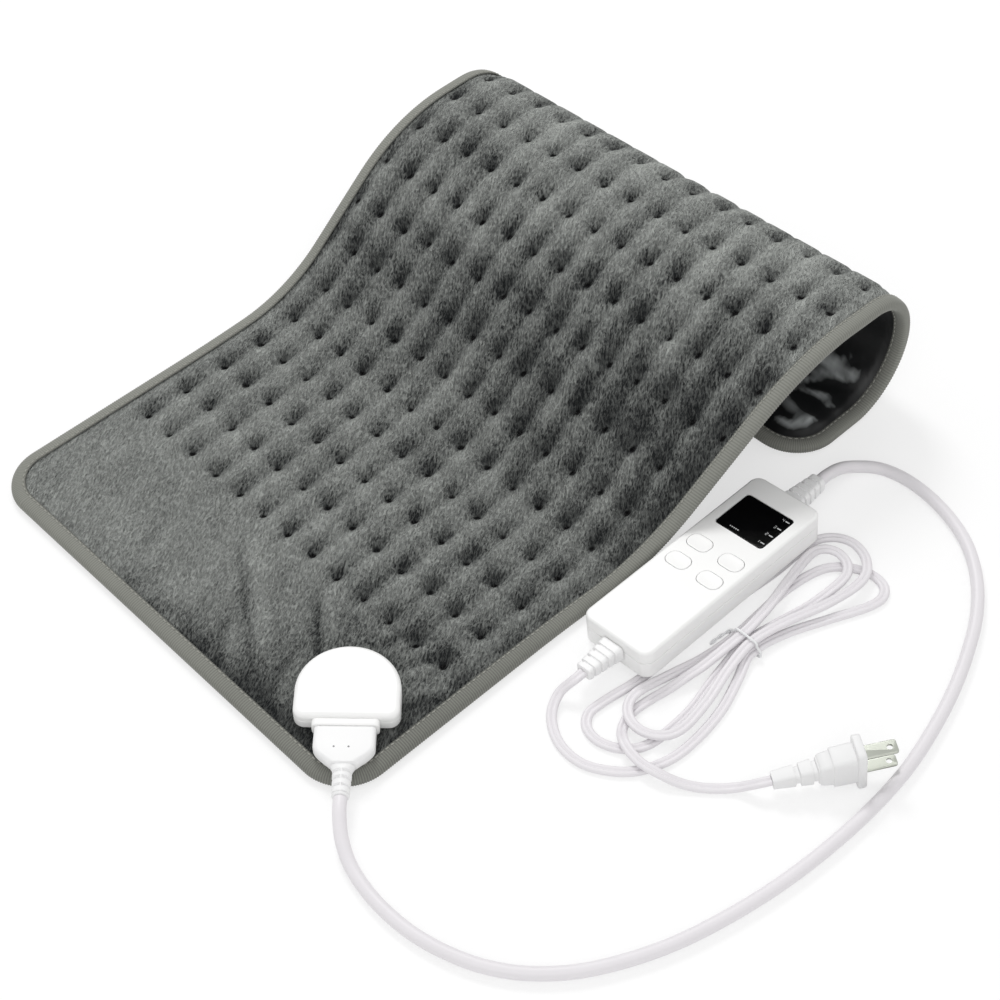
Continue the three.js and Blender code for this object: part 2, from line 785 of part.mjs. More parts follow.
// Connector: its nose goes in through the socket's mouth and its contacts go over the pins
const collarBack = fitGap + collarDepth;
const noseFront = fitGap - noseDepth;
const bodyStart = collarBack + fitGap;
const reliefStart = bodyStart + connectorNeckDepth;
const connectorEnd = reliefStart + connectorReliefLength;
const neckFlattenShare = 0.84;

function connectorBody() {
  const [halfWidth, halfHeight] = [connectorWidth / 2, connectorHeight / 2];
  const [neckWidth, neckHeight] = [connectorReliefRadius, connectorReliefRadius * neckFlattenShare];
  const shell = loft([
    crossRing(bodyStart, halfWidth, halfHeight),
    crossRing(bodyStart + connectorShoulderDepth, halfWidth, halfHeight),
    crossRing(reliefStart, neckWidth, neckHeight),
    crossRing(reliefStart + joinDepth, neckWidth, neckHeight),
  ]);
  const base = [connectorReliefRadius, connectorReliefRadius];
  const tip = [connectorReliefTipRadius, connectorReliefTipRadius];
  const grip = ribbedGrip(base, tip, connectorReliefLength, gripRibs, connectorRibDepth);
  return join(shell, grip.translate(reliefStart, 0, 0)).translate(0, 0, contactHeight);
}

function connectorFront(sleeveEnd) {
  const collar = crossPlate(roundedRect(collarWidth, collarHeight, collarCorner), fitGap, collarBack);
  const nose = centredBlock(0, 0, noseDepth + joinDepth, noseWidth, -noseHeight / 2, noseHeight / 2)
    .translate(noseFront + (noseDepth + joinDepth) / 2, 0, 0);
  const holes = contactPlaces.map(([, y]) =>
    rodAlongX(sleeveRadius + fitGap, noseFront - joinDepth, sleeveEnd + fitGap, y, 0));
  return cut(join(collar, nose), ...holes).translate(0, 0, contactHeight);
}

function buildConnector() {
  const sleeveStart = noseFront + fitGap;
  const sleeveEnd = sleeveStart + sleeveLength;
  addMesh(socket, 'connector_collar', connectorFront(sleeveEnd), whitePlastic);
  addMesh(socket, 'connector_body', connectorBody(), whiteRubber);
  contactPlaces.forEach(([name, y]) => {
    const outer = rodAlongX(sleeveRadius, sleeveStart, sleeveEnd, y, contactHeight);
    const bore = rodAlongX(sleeveRadius - sleeveWall, noseFront - joinDepth, sleeveEnd - sleeveWall,
      y, contactHeight);
    addMesh(socket, `connector_contact_${name}`, cut(outer, bore), nickel);
  });
}

// Controller: it leans on a strand of the cord, so its frame is tilted about its lower long edge
const leaning = new THREE.Group();
leaning.position.set(caseX, caseY, 0);
leaning.rotation.y = -caseTiltDegrees * degree;
part.add(leaning);
const controller = new THREE.Group();
controller.position.x = caseWidth / 2;
leaning.add(controller);

const boardWidth = caseWidth - 2 * (caseWall + boardSideClear);
const boardLength = caseLength - 2 * (screwInset + screwBossRadius + boardEndClear);
const displayWidth = caseWidth - 2 * displaySideMargin;
const displayCentre = (caseLength - displayLength) / 2 - displayEndMargin;
const buttonWidth = caseWidth / 2 - caseWall - 2 * buttonFlange - buttonSideClear - buttonMiddleClear / 2;
const buttonSpacingX = buttonWidth + 2 * buttonFlange + buttonMiddleClear;
const boardTop = boardHeight + boardThickness;
const mountHeight = boardTop + fitGap;
const plungerTop = mountHeight + switchBodyHeight + plungerHeight;
const flangeTop = caseHeight - caseWall - fitGap;
const lensBase = caseHeight - displayPocket + fitGap;
const screwPlaces = [[-1, -1], [1, -1], [1, 1], [-1, 1]].map(([x, y]) =>
  [x * (caseWidth / 2 - screwInset), y * (caseLength / 2 - screwInset)]);
const buttonPlaces = [['power', -1, -1], ['timer', 1, -1], ['heat_down', -1, 1], ['heat_up', 1, 1]]
  .map(([name, x, y]) => [name, x * buttonSpacingX / 2, buttonCentre + y * buttonSpacingY / 2]);

function hollowCase() {
  const outer = plate(roundedRect(caseWidth, caseLength, caseCorner), 0, caseHeight, caseBevel);
  const inside = roundedRect(caseWidth - 2 * caseWall, caseLength - 2 * caseWall, caseCorner - caseWall);
  return cut(outer, plate(inside, caseWall, caseHeight - caseWall, caseBevel / 2));
}

function gripNotches() {
  const width = 2 * (gripNeckHalfWidth + fitGap);
  return [-1, 1].map((end) => centredBlock(0, end * (caseLength - caseWall) / 2, width, caseWall + joinDepth,
    gripHeight - gripNeckHalfHeight - fitGap, gripHeight + gripNeckHalfHeight + fitGap));
}

const halfSpace = (z0, z1) => centredBlock(0, 0, caseWidth * 2, caseLength * 2, z0, z1);

function bottomShell() {
  const seam = caseSplit - fitGap / 2;
  const half = common(hollowCase(), halfSpace(-joinDepth, seam));
  const bosses = screwPlaces.map(([x, y]) => rod(screwBossRadius, caseWall / 2, seam, x, y));
  const standoffs = [[-1, -1], [1, -1], [1, 1], [-1, 1]].map(([x, y]) => rod(
    standoffRadius, caseWall / 2, boardHeight - fitGap,
    x * (boardWidth / 2 - standoffInset), boardCentre + y * (boardLength / 2 - standoffInset),
  ));
  const holes = screwPlaces.flatMap(([x, y]) => [
    rod(screwHeadRadius + fitGap, -joinDepth, screwRecess, x, y),
    rod(screwShankRadius + fitGap, 0, caseHeight, x, y),
  ]);
  return cut(join(half, ...bosses, ...standoffs), ...holes, ...gripNotches());
}

function topShell() {
  const seam = caseSplit + fitGap / 2;
  const half = common(hollowCase(), halfSpace(seam, caseHeight + joinDepth));
  const bosses = screwPlaces.map(([x, y]) => rod(screwBossRadius, seam, caseHeight - caseWall / 2, x, y));
  const holes = screwPlaces.map(([x, y]) =>
    rod(screwShankRadius + fitGap, seam - joinDepth, caseHeight - caseWall, x, y));
  const pocket = roundedRect(displayWidth + 2 * fitGap, displayLength + 2 * fitGap, displayCorner + fitGap);
  const [windowWidth, windowLength] = [displayWidth - 2 * displayLedge, displayLength - 2 * displayLedge];
  const buttonHole = roundedRect(buttonWidth + 2 * fitGap, buttonLength + 2 * fitGap, buttonCorner + fitGap);
  const over = caseHeight + joinDepth;
  return cut(
    join(half, ...bosses),
    plate(pocket, caseHeight - displayPocket, over).translate(0, displayCentre, 0),
    centredBlock(0, displayCentre, windowWidth, windowLength, caseHeight - caseWall - joinDepth, over),
    ...buttonPlaces.map(([, x, y]) => plate(buttonHole, flangeTop, over).translate(x, y, 0)),
    ...holes,
    ...gripNotches(),
  );
}

function button(x, y) {
  const cap = roundedRect(buttonWidth, buttonLength, buttonCorner);
  const lip = roundedRect(buttonWidth + 2 * buttonFlange, buttonLength + 2 * buttonFlange,
    buttonCorner + buttonFlange);
  const flangeBase = flangeTop - buttonFlangeThickness;
  return join(
    plate(cap, flangeBase, caseHeight + buttonProud, buttonEdge),
    plate(lip, flangeBase, flangeTop),
    rod(stemRadius, plungerTop + buttonTravel + pressGap, flangeTop),
  ).translate(x, y, 0);
}

function tactSwitch(x, y) {
  const body = centredBlock(x, y, switchSide, switchSide, mountHeight, mountHeight + switchBodyHeight);
  return join(body, rod(plungerRadius, mountHeight + switchBodyHeight / 2, plungerTop, x, y));
}

// Pieces on the circuit board: across it as shares of its width, along it from the buttons or its end
const relayAcrossShare = -0.24;
const filmCapacitorAcrossShare = 0.3;
const canAcrossShare = -0.25;
const fuseAcrossShare = 0.17;
const buttonsEnd = buttonCentre - (buttonSpacingY + buttonLength) / 2 - buttonFlange;
const boardEnd = boardCentre - boardLength / 2;

function buildElectronics() {
  const board = centredBlock(0, boardCentre, boardWidth, boardLength, boardHeight, boardTop);
  addMesh(controller, 'circuit_board', board, circuitGreen);
  const module = centredBlock(0, displayCentre,
    displayWidth - 2 * (displayLedge + displayModuleClear),
    displayLength - 2 * (displayLedge + displayModuleClear),
    mountHeight, lensBase - 2 * fitGap);
  addMesh(controller, 'display_module', module, darkPlastic);
  const relay = centredBlock(relayAcrossShare * boardWidth, buttonsEnd - relayClear - relayLength / 2,
    relayWidth, relayLength, mountHeight, mountHeight + relayHeight);
  addMesh(controller, 'relay', relay, darkPlastic);
  const film = centredBlock(filmCapacitorAcrossShare * boardWidth,
    buttonsEnd - filmCapacitorClear - filmCapacitorLength / 2, filmCapacitorWidth, filmCapacitorLength,
    mountHeight, mountHeight + filmCapacitorHeight);
  addMesh(controller, 'film_capacitor', film, silicone);
  const can = rod(canRadius, mountHeight, mountHeight + canHeight,
    canAcrossShare * boardWidth, boardEnd + canEndClear + canRadius);
  addMesh(controller, 'can_capacitor', can, darkPlastic);
  const [fuseX, fuseY] = [fuseAcrossShare * boardWidth, boardEnd + fuseEndClear + fuseRadius];
  const fuse = rodAlongX(fuseRadius, fuseX - fuseLength / 2, fuseX + fuseLength / 2,
    fuseY, mountHeight + fuseRadius);
  addMesh(controller, 'fuse', fuse, nickel);
}

// A cord grip, made along +X out of the case: a flange inside the wall, a neck and a ribbed taper
function caseGrip(tip, length) {
  const inner = -caseWall - fitGap;
  const flange = block(inner - gripFlangeDepth, inner,
    -gripNeckHalfWidth - gripFlange, gripNeckHalfWidth + gripFlange,
    -gripNeckHalfHeight - gripFlange / 2, gripNeckHalfHeight + gripFlange / 2);
  const neck = block(inner - joinDepth, fitGap + joinDepth,
    -gripNeckHalfWidth, gripNeckHalfWidth, -gripNeckHalfHeight, gripNeckHalfHeight);
  const taper = ribbedGrip([gripBaseHalfWidth, gripBaseHalfHeight], tip, length, gripRibs, gripRibDepth);
  return join(flange, neck, taper.translate(fitGap, 0, 0));
}

function buildController() {
  const bottom = addMesh(controller, 'controller_bottom_shell', bottomShell(), whitePlastic);
  addMesh(controller, 'controller_top_shell', topShell(), whitePlastic);
  const lens = plate(roundedRect(displayWidth, displayLength, displayCorner),
    lensBase, lensBase + displayLensThickness);
  addMesh(controller, 'display_window', lens.translate(0, displayCentre, 0), darkGlass);
  buildElectronics();
  buttonPlaces.forEach(([name, x, y], i) => {
    addMesh(controller, `button_${name}`, button(x, y), buttonPlastic);
    addMesh(controller, `tact_switch_${i + 1}`, tactSwitch(x, y), darkPlastic);
  });
  screwPlaces.forEach(([x, y], i) => {
    const geometry = screw(x, y, screwRecess - fitGap, caseHeight - caseWall - fitGap);
    addMesh(controller, `case_screw_${i + 1}`, geometry, steel);
  });
  const mainsGrip = caseGrip([mainsGripTipHalfWidth, mainsGripTipHalfHeight], mainsGripLength)
    .rotateZ(-Math.PI / 2).translate(0, -caseLength / 2, gripHeight);
  addMesh(controller, 'mains_cord_grip', mainsGrip, whiteRubber);
  const padGrip = caseGrip([padGripTipRadius, padGripTipRadius], padGripLength)
    .rotateZ(Math.PI / 2).translate(0, caseLength / 2, gripHeight);
  addMesh(controller, 'pad_cord_grip', padGrip, whiteRubber);
  setDown(leaning, bottom);
}

// Lowers a group until one of its pieces touches the surface that the pad lies on
function setDown(group, piece) {
  part.updateMatrixWorld(true);
  group.position.z -= new THREE.Box3().setFromObject(piece, true).min.z;
  part.updateMatrixWorld(true);
}

// Plug, in its own frame: +X along its blades, the flange's front face at x = 0
const plug = new THREE.Group();
plug.position.set(plugX, plugY, 0);
plug.rotation.set(0, -plugTiltDegrees * degree, plugTurnDegrees * degree, 'ZYX');
part.add(plug);
const plugTail = plugFlangeDepth + plugBodyDepth + plugGripLength;
const bodyTaperShare = 0.86;

function plugBody() {
  const flange = crossPlate(roundedRect(plugFlangeWidth, plugFlangeHeight, plugFlangeCorner),
    -plugFlangeDepth, 0, plugFlangeBevel);
  const [halfWidth, halfHeight] = [plugBodyWidth / 2, plugBodyHeight / 2];
  const gripStart = -plugFlangeDepth - plugBodyDepth;
  const body = loft([
    crossRing(joinDepth - plugFlangeDepth, halfWidth, halfHeight),
    crossRing(gripStart + plugBodyDepth / 2, halfWidth, halfHeight),
    crossRing(gripStart, halfWidth * bodyTaperShare, halfHeight * bodyTaperShare),
  ]);
  const grip = ribbedGrip([plugGripHalfWidth, plugGripHalfHeight], [plugTipHalfWidth, plugTipHalfHeight],
    plugGripLength + joinDepth, plugGripRibs, plugGripRibDepth);
  const slots = [[bladeWidth, -1], [wideBladeWidth, 1]].map(([width, side]) => centredBlock(
    (joinDepth - bladeRoot - fitGap) / 2, 0, joinDepth + bladeRoot + fitGap, width + 2 * fitGap,
    side * bladeSpacing / 2 - bladeThickness / 2 - fitGap, side * bladeSpacing / 2 + bladeThickness / 2 + fitGap,
  ));
  return cut(join(flange, body, grip.rotateZ(Math.PI).translate(gripStart + joinDepth, 0, 0)), ...slots);
}

function blade(width, side) {
  const height = side * bladeSpacing / 2;
  const [low, high] = [height - bladeThickness / 2, height + bladeThickness / 2];
  const strip = plate(roundedRect(bladeRoot + bladeReach, width, bladeCorner), low, high)
    .translate((bladeReach - bladeRoot) / 2, 0, 0);
  return cut(strip, rod(bladeHoleRadius, low - joinDepth, high + joinDepth, bladeReach - bladeHoleSetback));
}

function buildPlug() {
  const body = addMesh(plug, 'plug_body', plugBody(), whiteRubber);
  addMesh(plug, 'plug_blade_narrow', blade(bladeWidth, -1), nickel);
  addMesh(plug, 'plug_blade_wide', blade(wideBladeWidth, 1), nickel);
  setDown(plug, body);
}

// Cords
const worldPoint = (group, x, y, z) => group.localToWorld(new THREE.Vector3(x, y, z));
const stepDiameters = 2.5;

function cordTube(ends, route, floorHeight, section, diameter) {
  const middle = route.map(([x, y, z = floorHeight]) => new THREE.Vector3(x, y, z));
  const curve = new CordCurve([...ends[0], ...middle, ...ends[1]]);
  const shape = new THREE.Shape(section.map(([x, y]) => new THREE.Vector2(x, y)));
  const steps = Math.ceil(curve.getLength() / (diameter * stepDiameters));
  return new THREE.ExtrudeGeometry(shape, { steps, extrudePath: curve });
}

// Pad cord: from the connector round the hank and back to the controller
const padCordRoute = [
  [163, -104.3, 8.2], [175, -109.8, 4.6], [190, -113.2], [205, -114.3], [222, -113.2], [240, -108.8],
  [258, -101], [274, -89.5], [289, -73], [301, -53], [311, -30], [319, -2], [325, 30], [328, 62],
  [328.5, 94], [326, 125], [320.5, 152], [313, 178], [304, 201], [292, 225], [277, 245], [258, 261],
  [238, 270], [218, 274], [202, 273.5], [190, 269.5], [181.5, 260.5, 5], [178.2, 250.5, 8.8],
];
const padCordSides = 12;

function padCord() {
  const radius = padCordDiameter / 2;
  const gripTip = caseLength / 2 + fitGap + padGripLength + fitGap;
  const ends = [
    [0, padCordDiameter].map((run) => worldPoint(socket, connectorEnd + fitGap + run, 0, contactHeight)),
    [padCordDiameter, 0].map((run) => worldPoint(controller, 0, gripTip + run, gripHeight)),
  ];
  return cordTube(ends, padCordRoute, radius + cordFloorGap, roundSection(radius, padCordSides),
    padCordDiameter);
}

// Mains cord: two strands side by side, so its section is flat
const slotPitch = (mainsWidth + strandGap) / 2;
const levelPitch = mainsThickness + layerGap;
const strandHeight = cordFloorGap + mainsThickness / 2;
const waistLift = 2 * tieRadius + tieClear;
const slot = (number) => (number - 2) * slotPitch;
const mainsSection = eightCorners(mainsWidth / 2, mainsThickness / 2);
const hankFlatShare = 0.6;
const hankSection = [[1, 0], [hankFlatShare, 1], [-hankFlatShare, 1],
  [-1, 0], [-hankFlatShare, -1], [hankFlatShare, -1]]
  .map(([x, y]) => [x * mainsWidth / 2, y * mainsThickness / 2]);
const mainsDiameter = (mainsWidth + mainsThickness) / 2;

function waistPoint(number, level, along) {
  return new THREE.Vector3(waistX + slot(number), waistY + along,
    strandHeight + level * levelPitch + waistLift);
}

const nearRoute = [
  [175, 32, 5.4], [180.5, 21, 2.6], [194, 12.5], [210, 11.5], [223, 18], [233, 28], [240, 45],
  [241, 62], [238, 85], [231, 106, 2.2],
];
const farRoute = [
  [214.5, 95, 5.9], [213.2, 88, 5], [211, 76, 3], [208, 62], [207.3, 51], [209.3, 44], [212.3, 39.2, 2.4],
  [217.3, 34.7, 5.3], [224, 32, 5.7], [232, 31, 5.6], [243, 32.8, 5.4], [254, 38, 2.8], [264, 45.5], [274, 55.5, 2.6],
];

function mainsCordNear() {
  const gripTip = -caseLength / 2 - fitGap - mainsGripLength - fitGap;
  const ends = [
    [0, mainsWidth].map((run) => worldPoint(controller, 0, gripTip - run, gripHeight)),
    [-mainsWidth, -fitGap / 2].map((along) => waistPoint(4, 0, along)),
  ];
  return cordTube(ends, nearRoute, strandHeight, mainsSection, mainsThickness);
}

function mainsCordFar() {
  const ends = [
    [-fitGap / 2, -mainsWidth].map((along) => waistPoint(1, 1, along)),
    [mainsWidth, 0].map((run) => worldPoint(plug, -plugTail - fitGap - run, 0, 0)),
  ];
  return cordTube(ends, farRoute, strandHeight, mainsSection, mainsThickness);
}

// Hank: loops that leave the waist, turn at their far end and come back, one after the other.
// Levels are given at the waist, half way out, where the turn starts, at its tip, and so on back.
const loops = [
  { way: 1, reach: 84, halfWidth: 17, bend: 19, entry: 1, from: slot(4), to: slot(0),
    levels: [0, 0, 0, 0, 0, 0, 0] },
  { way: -1, reach: 80, halfWidth: 15.5, bend: -2, entry: -1, from: slot(0), to: slot(3),
    levels: [0, 0, 0.95, 1, 1, 1.1, 1] },
  { way: 1, reach: 91, halfWidth: 19, bend: -3, entry: 1, from: slot(3), to: -bypassAcross,
    levels: [1, 1.3, 1.2, 1, 0, 0, 0] },
  { way: -1, reach: 98, halfWidth: 17, bend: -14, entry: -1, from: -bypassAcross, to: slot(2),
    levels: [0, 0, 0, 0, 0, 0, 0] },
  { way: 1, reach: 80, halfWidth: 11.5, bend: -3.5, entry: 1, from: slot(2), to: slot(1),
    levels: [0, 0, 0.95, 1, 1, 1.05, 1] },
];
const runSteps = 3;
const tipSteps = 6;
const keysPerStretch = 2;

function loopPoints({ way, reach, halfWidth, bend, entry, from, to, levels }) {
  const run = reach - halfWidth;
  const points = [];
  const addPoint = (along, across, key) => {
    const below = Math.min(Math.floor(key), levels.length - 2);
    const level = THREE.MathUtils.lerp(levels[below], levels[below + 1], key - below);
    const fade = Math.max(0, 1 - Math.min(key, levels.length - 1 - key));
    const tied = Math.abs(key < levels.length / 2 ? from : to) < bypassAcross;
    points.push(new THREE.Vector3(
      waistX + across + bend * (along / reach) ** 2,
      waistY + way * along,
      strandHeight + level * levelPitch + (tied ? waistLift * fade : 0),
    ));
  };
  for (let i = 0; i <= runSteps; i++) {
    const t = i / runSteps;
    const across = THREE.MathUtils.lerp(from, entry * halfWidth, THREE.MathUtils.smoothstep(t, 0, 1));
    addPoint(run * t, across, keysPerStretch * t);
  }
  for (let i = 1; i <= tipSteps; i++) {
    const t = i / tipSteps;
    const angle = t * Math.PI;
    addPoint(run + halfWidth * Math.sin(angle), entry * halfWidth * Math.cos(angle), keysPerStretch * (1 + t));
  }
  for (let i = 1; i <= runSteps; i++) {
    const t = i / runSteps;
    const across = THREE.MathUtils.lerp(-entry * halfWidth, to, THREE.MathUtils.smoothstep(t, 0, 1));
    addPoint(run * (1 - t), across, keysPerStretch * (2 + t));
  }
  return points;
}

function hankPoints() {
  const points = loops.flatMap((loop, i) => loopPoints(loop).slice(i === 0 ? 0 : 1));
  const [first, last] = [waistPoint(4, 0, fitGap / 2), waistPoint(1, 1, fitGap / 2)];
  const [second, beforeLast] = [waistPoint(4, 0, mainsDiameter), waistPoint(1, 1, mainsDiameter)];
  return [first, second, ...points.slice(1, -1), beforeLast, last];
}

// The least gap between two places of the hank that are not neighbours along it
const sampleStep = 1.5;
const neighbourWidths = 4;
function leastSelfGap(points) {
  const samples = [];
  let before = 0;
  for (let i = 0; i + 1 < points.length; i++) {
    const length = points[i].distanceTo(points[i + 1]);
    const count = Math.ceil(length / sampleStep);
    for (let k = 0; k < count; k++) {
      samples.push({ place: points[i].clone().lerp(points[i + 1], k / count), run: before + length * k / count });
    }
    before += length;
  }
  let least = Infinity;
  samples.forEach((a, i) => samples.slice(i + 1).forEach((b) => {
    if (b.run - a.run < neighbourWidths * mainsWidth) return;
    const across = Math.hypot(a.place.x - b.place.x, a.place.y - b.place.y) - mainsWidth;
    const height = Math.abs(a.place.z - b.place.z) - mainsThickness;
    least = Math.min(least, Math.max(across, height));
  }));
  return { least, length: before };
}

// Tie: a wire once round the waist with a twisted tail
const tailTurns = 2;
const tailSteps = 14;
const tieSides = 6;
const tieTailRoute = [[-10.9, 0.4, 3.6], [-12.1, -4, 2.9], [-12.8, -8.5, 2.2], [-13.1, -12.5, 1.6]];
function twistTie() {
  const [wide, narrow] = [2 * slotPitch + mainsWidth / 2, slotPitch + mainsWidth / 2];
  const clear = tieRadius + tieClear;
  const low = cordFloorGap + tieRadius;
  const bottom = low + clear;
  const top = bottom + levelPitch + mainsThickness;
  const half = [[wide, low], [wide + clear, bottom], [wide + clear, bottom + mainsThickness],
    [narrow + clear, bottom + levelPitch + mainsThickness / 2], [narrow + clear, top], [narrow, top + clear]];
  const outline = [...half, ...half.map(([x, z]) => [-x, z]).reverse()];
  const place = (x, y, z) => new THREE.Vector3(waistX + x, waistY + y, z);
  const ringPoints = outline.map(([x, z]) => place(x, 0, z));
  const acrossRing = new THREE.Vector3(0, 1, 0);
  const ring = sweep(ringPoints, ringPoints.map(() => acrossRing), roundSection(tieRadius, tieSides), true);
  const curve = new THREE.CatmullRomCurve3(tieTailRoute.map(([x, y, z]) => place(x, y, z)));
  const tailPoints = curve.getSpacedPoints(tailSteps);
  const tailUps = tailPoints.map((_, i) => upwards.clone()
    .applyAxisAngle(curve.getTangentAt(i / tailSteps), i / tailSteps * tailTurns * Math.PI));
  const tail = sweep(tailPoints, tailUps, eightCorners(tieTailHalfWidth, tieTailHalfThickness));
  return join(ring, tail);
}

function buildCords() {
  addMesh(part, 'pad_cord', padCord(), whiteRubber);
  addMesh(part, 'mains_cord_near', mainsCordNear(), whiteRubber);
  const points = hankPoints();
  addMesh(part, 'mains_cord_hank', sweep(points, points.map(() => upwards), hankSection), whiteRubber);
  addMesh(part, 'mains_cord_far', mainsCordFar(), whiteRubber);
  addMesh(part, 'twist_tie', twistTie(), whiteRubber);
  const { least, length } = leastSelfGap(points);
  console.log(`hank: ${length.toFixed(0)} mm long, least gap to itself ${least.toFixed(2)} mm`);
}

function buildPad() {
  const carrierRuns = [carrierStart, ...lines.map((line) => line.s)
    .filter((s) => s > carrierStart && fromEnd(s) > wireInset), padLength - wireInset];
  addMesh(part, 'top_cover', cut(layer(lines.map(topCoverRow)), coverOpening()), plush);
  addMesh(part, 'back_cover', layer(lines.map(backCoverRow)), backing);
  addMesh(part, 'heating_carrier', layer(carrierRuns.map(carrierRow)), felt);
  addMesh(part, 'heating_wire', heatingWire(), silicone);
  const rightSide = lines.map((line) => bindingRing(line, 1));
  const leftSide = lines.map((line) => bindingRing(line, -1)).reverse();
  addMesh(part, 'edge_binding', loft([...rightSide, ...leftSide], { closed: true }), tape);
}

buildPad();
buildSocket();
buildConnector();
buildController();
buildPlug();
buildCords();

export default part;
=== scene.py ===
"""Dresses the tufted heating pad, its controller, cords and plug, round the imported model.

Lengths are in millimetres, and become metres when a mesh is made. +X runs across the pad, +Y along
it, away from the end that carries the socket, and +Z up. The floor is at height zero.
"""

import functools
import logging
import math
from dataclasses import dataclass, field
from enum import Enum
from typing import Any, Callable, Iterable, Sequence

import bmesh
import bpy
import numpy as np
from mathutils import Matrix, Vector, noise


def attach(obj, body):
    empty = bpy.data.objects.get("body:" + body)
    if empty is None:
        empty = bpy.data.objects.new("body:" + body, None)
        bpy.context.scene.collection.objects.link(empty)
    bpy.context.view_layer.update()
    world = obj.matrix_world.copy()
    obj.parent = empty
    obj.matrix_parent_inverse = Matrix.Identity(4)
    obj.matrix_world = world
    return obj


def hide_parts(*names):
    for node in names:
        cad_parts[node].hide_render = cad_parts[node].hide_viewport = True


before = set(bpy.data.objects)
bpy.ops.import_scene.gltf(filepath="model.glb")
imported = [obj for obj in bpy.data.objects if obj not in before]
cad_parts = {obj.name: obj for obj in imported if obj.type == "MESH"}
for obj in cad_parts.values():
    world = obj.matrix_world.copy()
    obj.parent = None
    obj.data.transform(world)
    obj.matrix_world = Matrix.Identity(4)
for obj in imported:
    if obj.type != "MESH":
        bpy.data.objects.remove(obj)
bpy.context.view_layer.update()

LOG = logging.getLogger("heating_pad")
MM = 0.001
FIT_GAP = 0.3  # between pieces that go into each other
OVERRUN = 1.0  # how far a cutting tool reaches past what it cuts

Colour = tuple[float, float, float]
Pair = tuple[float, float]
Triple = tuple[float, float, float]
Profile = Sequence[Pair]
Outline = Callable[[float], np.ndarray]
Piece = bpy.types.Object


def smoothstep(value: Any, low: float, high: float) -> Any:
    """Rises smoothly from 0 at low to 1 at high."""
    t = np.clip((value - low) / (high - low), 0.0, 1.0)
    return t * t * (3 - 2 * t)


def band(value: Any, low: float, full: float, ebb: float, end: float) -> Any:
    """Rises from 0 at low to 1 at full, and falls again from ebb to end."""
    return smoothstep(value, low, full) * (1 - smoothstep(value, ebb, end))


def blob(x: Any, y: Any, middle: Pair, radii: Pair) -> Any:
    """A soft round spot, 1 in its middle."""
    return np.exp(-((x - middle[0]) / radii[0]) ** 2 - ((y - middle[1]) / radii[1]) ** 2)


def linear(red: float, green: float, blue: float) -> Colour:
    """The linear colour of a display colour whose parts run from 0 to 255."""
    parts = (red / 255, green / 255, blue / 255)
    return tuple(((c + 0.055) / 1.055) ** 2.4 if c > 0.04 else c / 12.92 for c in parts)


# Shader maths


class Value:
    """A shader socket that takes part in Python expressions."""

    def __init__(self, tree: "ShaderTree", socket: bpy.types.NodeSocket) -> None:
        """Wraps a socket of a tree."""
        self.tree = tree
        self.socket = socket

    def _maths(self, operation: str, first: Any, second: Any) -> "Value":
        """Adds a Math node on two values."""
        return self.tree.node("ShaderNodeMath", {"operation": operation}, {0: first, 1: second})

    def __add__(self, other: Any) -> "Value":
        """Sum."""
        return self._maths("ADD", self, other)

    def __radd__(self, other: Any) -> "Value":
        """Sum, from the right."""
        return self._maths("ADD", other, self)

    def __sub__(self, other: Any) -> "Value":
        """Difference."""
        return self._maths("SUBTRACT", self, other)

    def __rsub__(self, other: Any) -> "Value":
        """Difference, from the right."""
        return self._maths("SUBTRACT", other, self)

    def __mul__(self, other: Any) -> "Value":
        """Product."""
        return self._maths("MULTIPLY", self, other)

    def __rmul__(self, other: Any) -> "Value":
        """Product, from the right."""
        return self._maths("MULTIPLY", other, self)

    def __pow__(self, other: Any) -> "Value":
        """Power."""
        return self._maths("POWER", self, other)


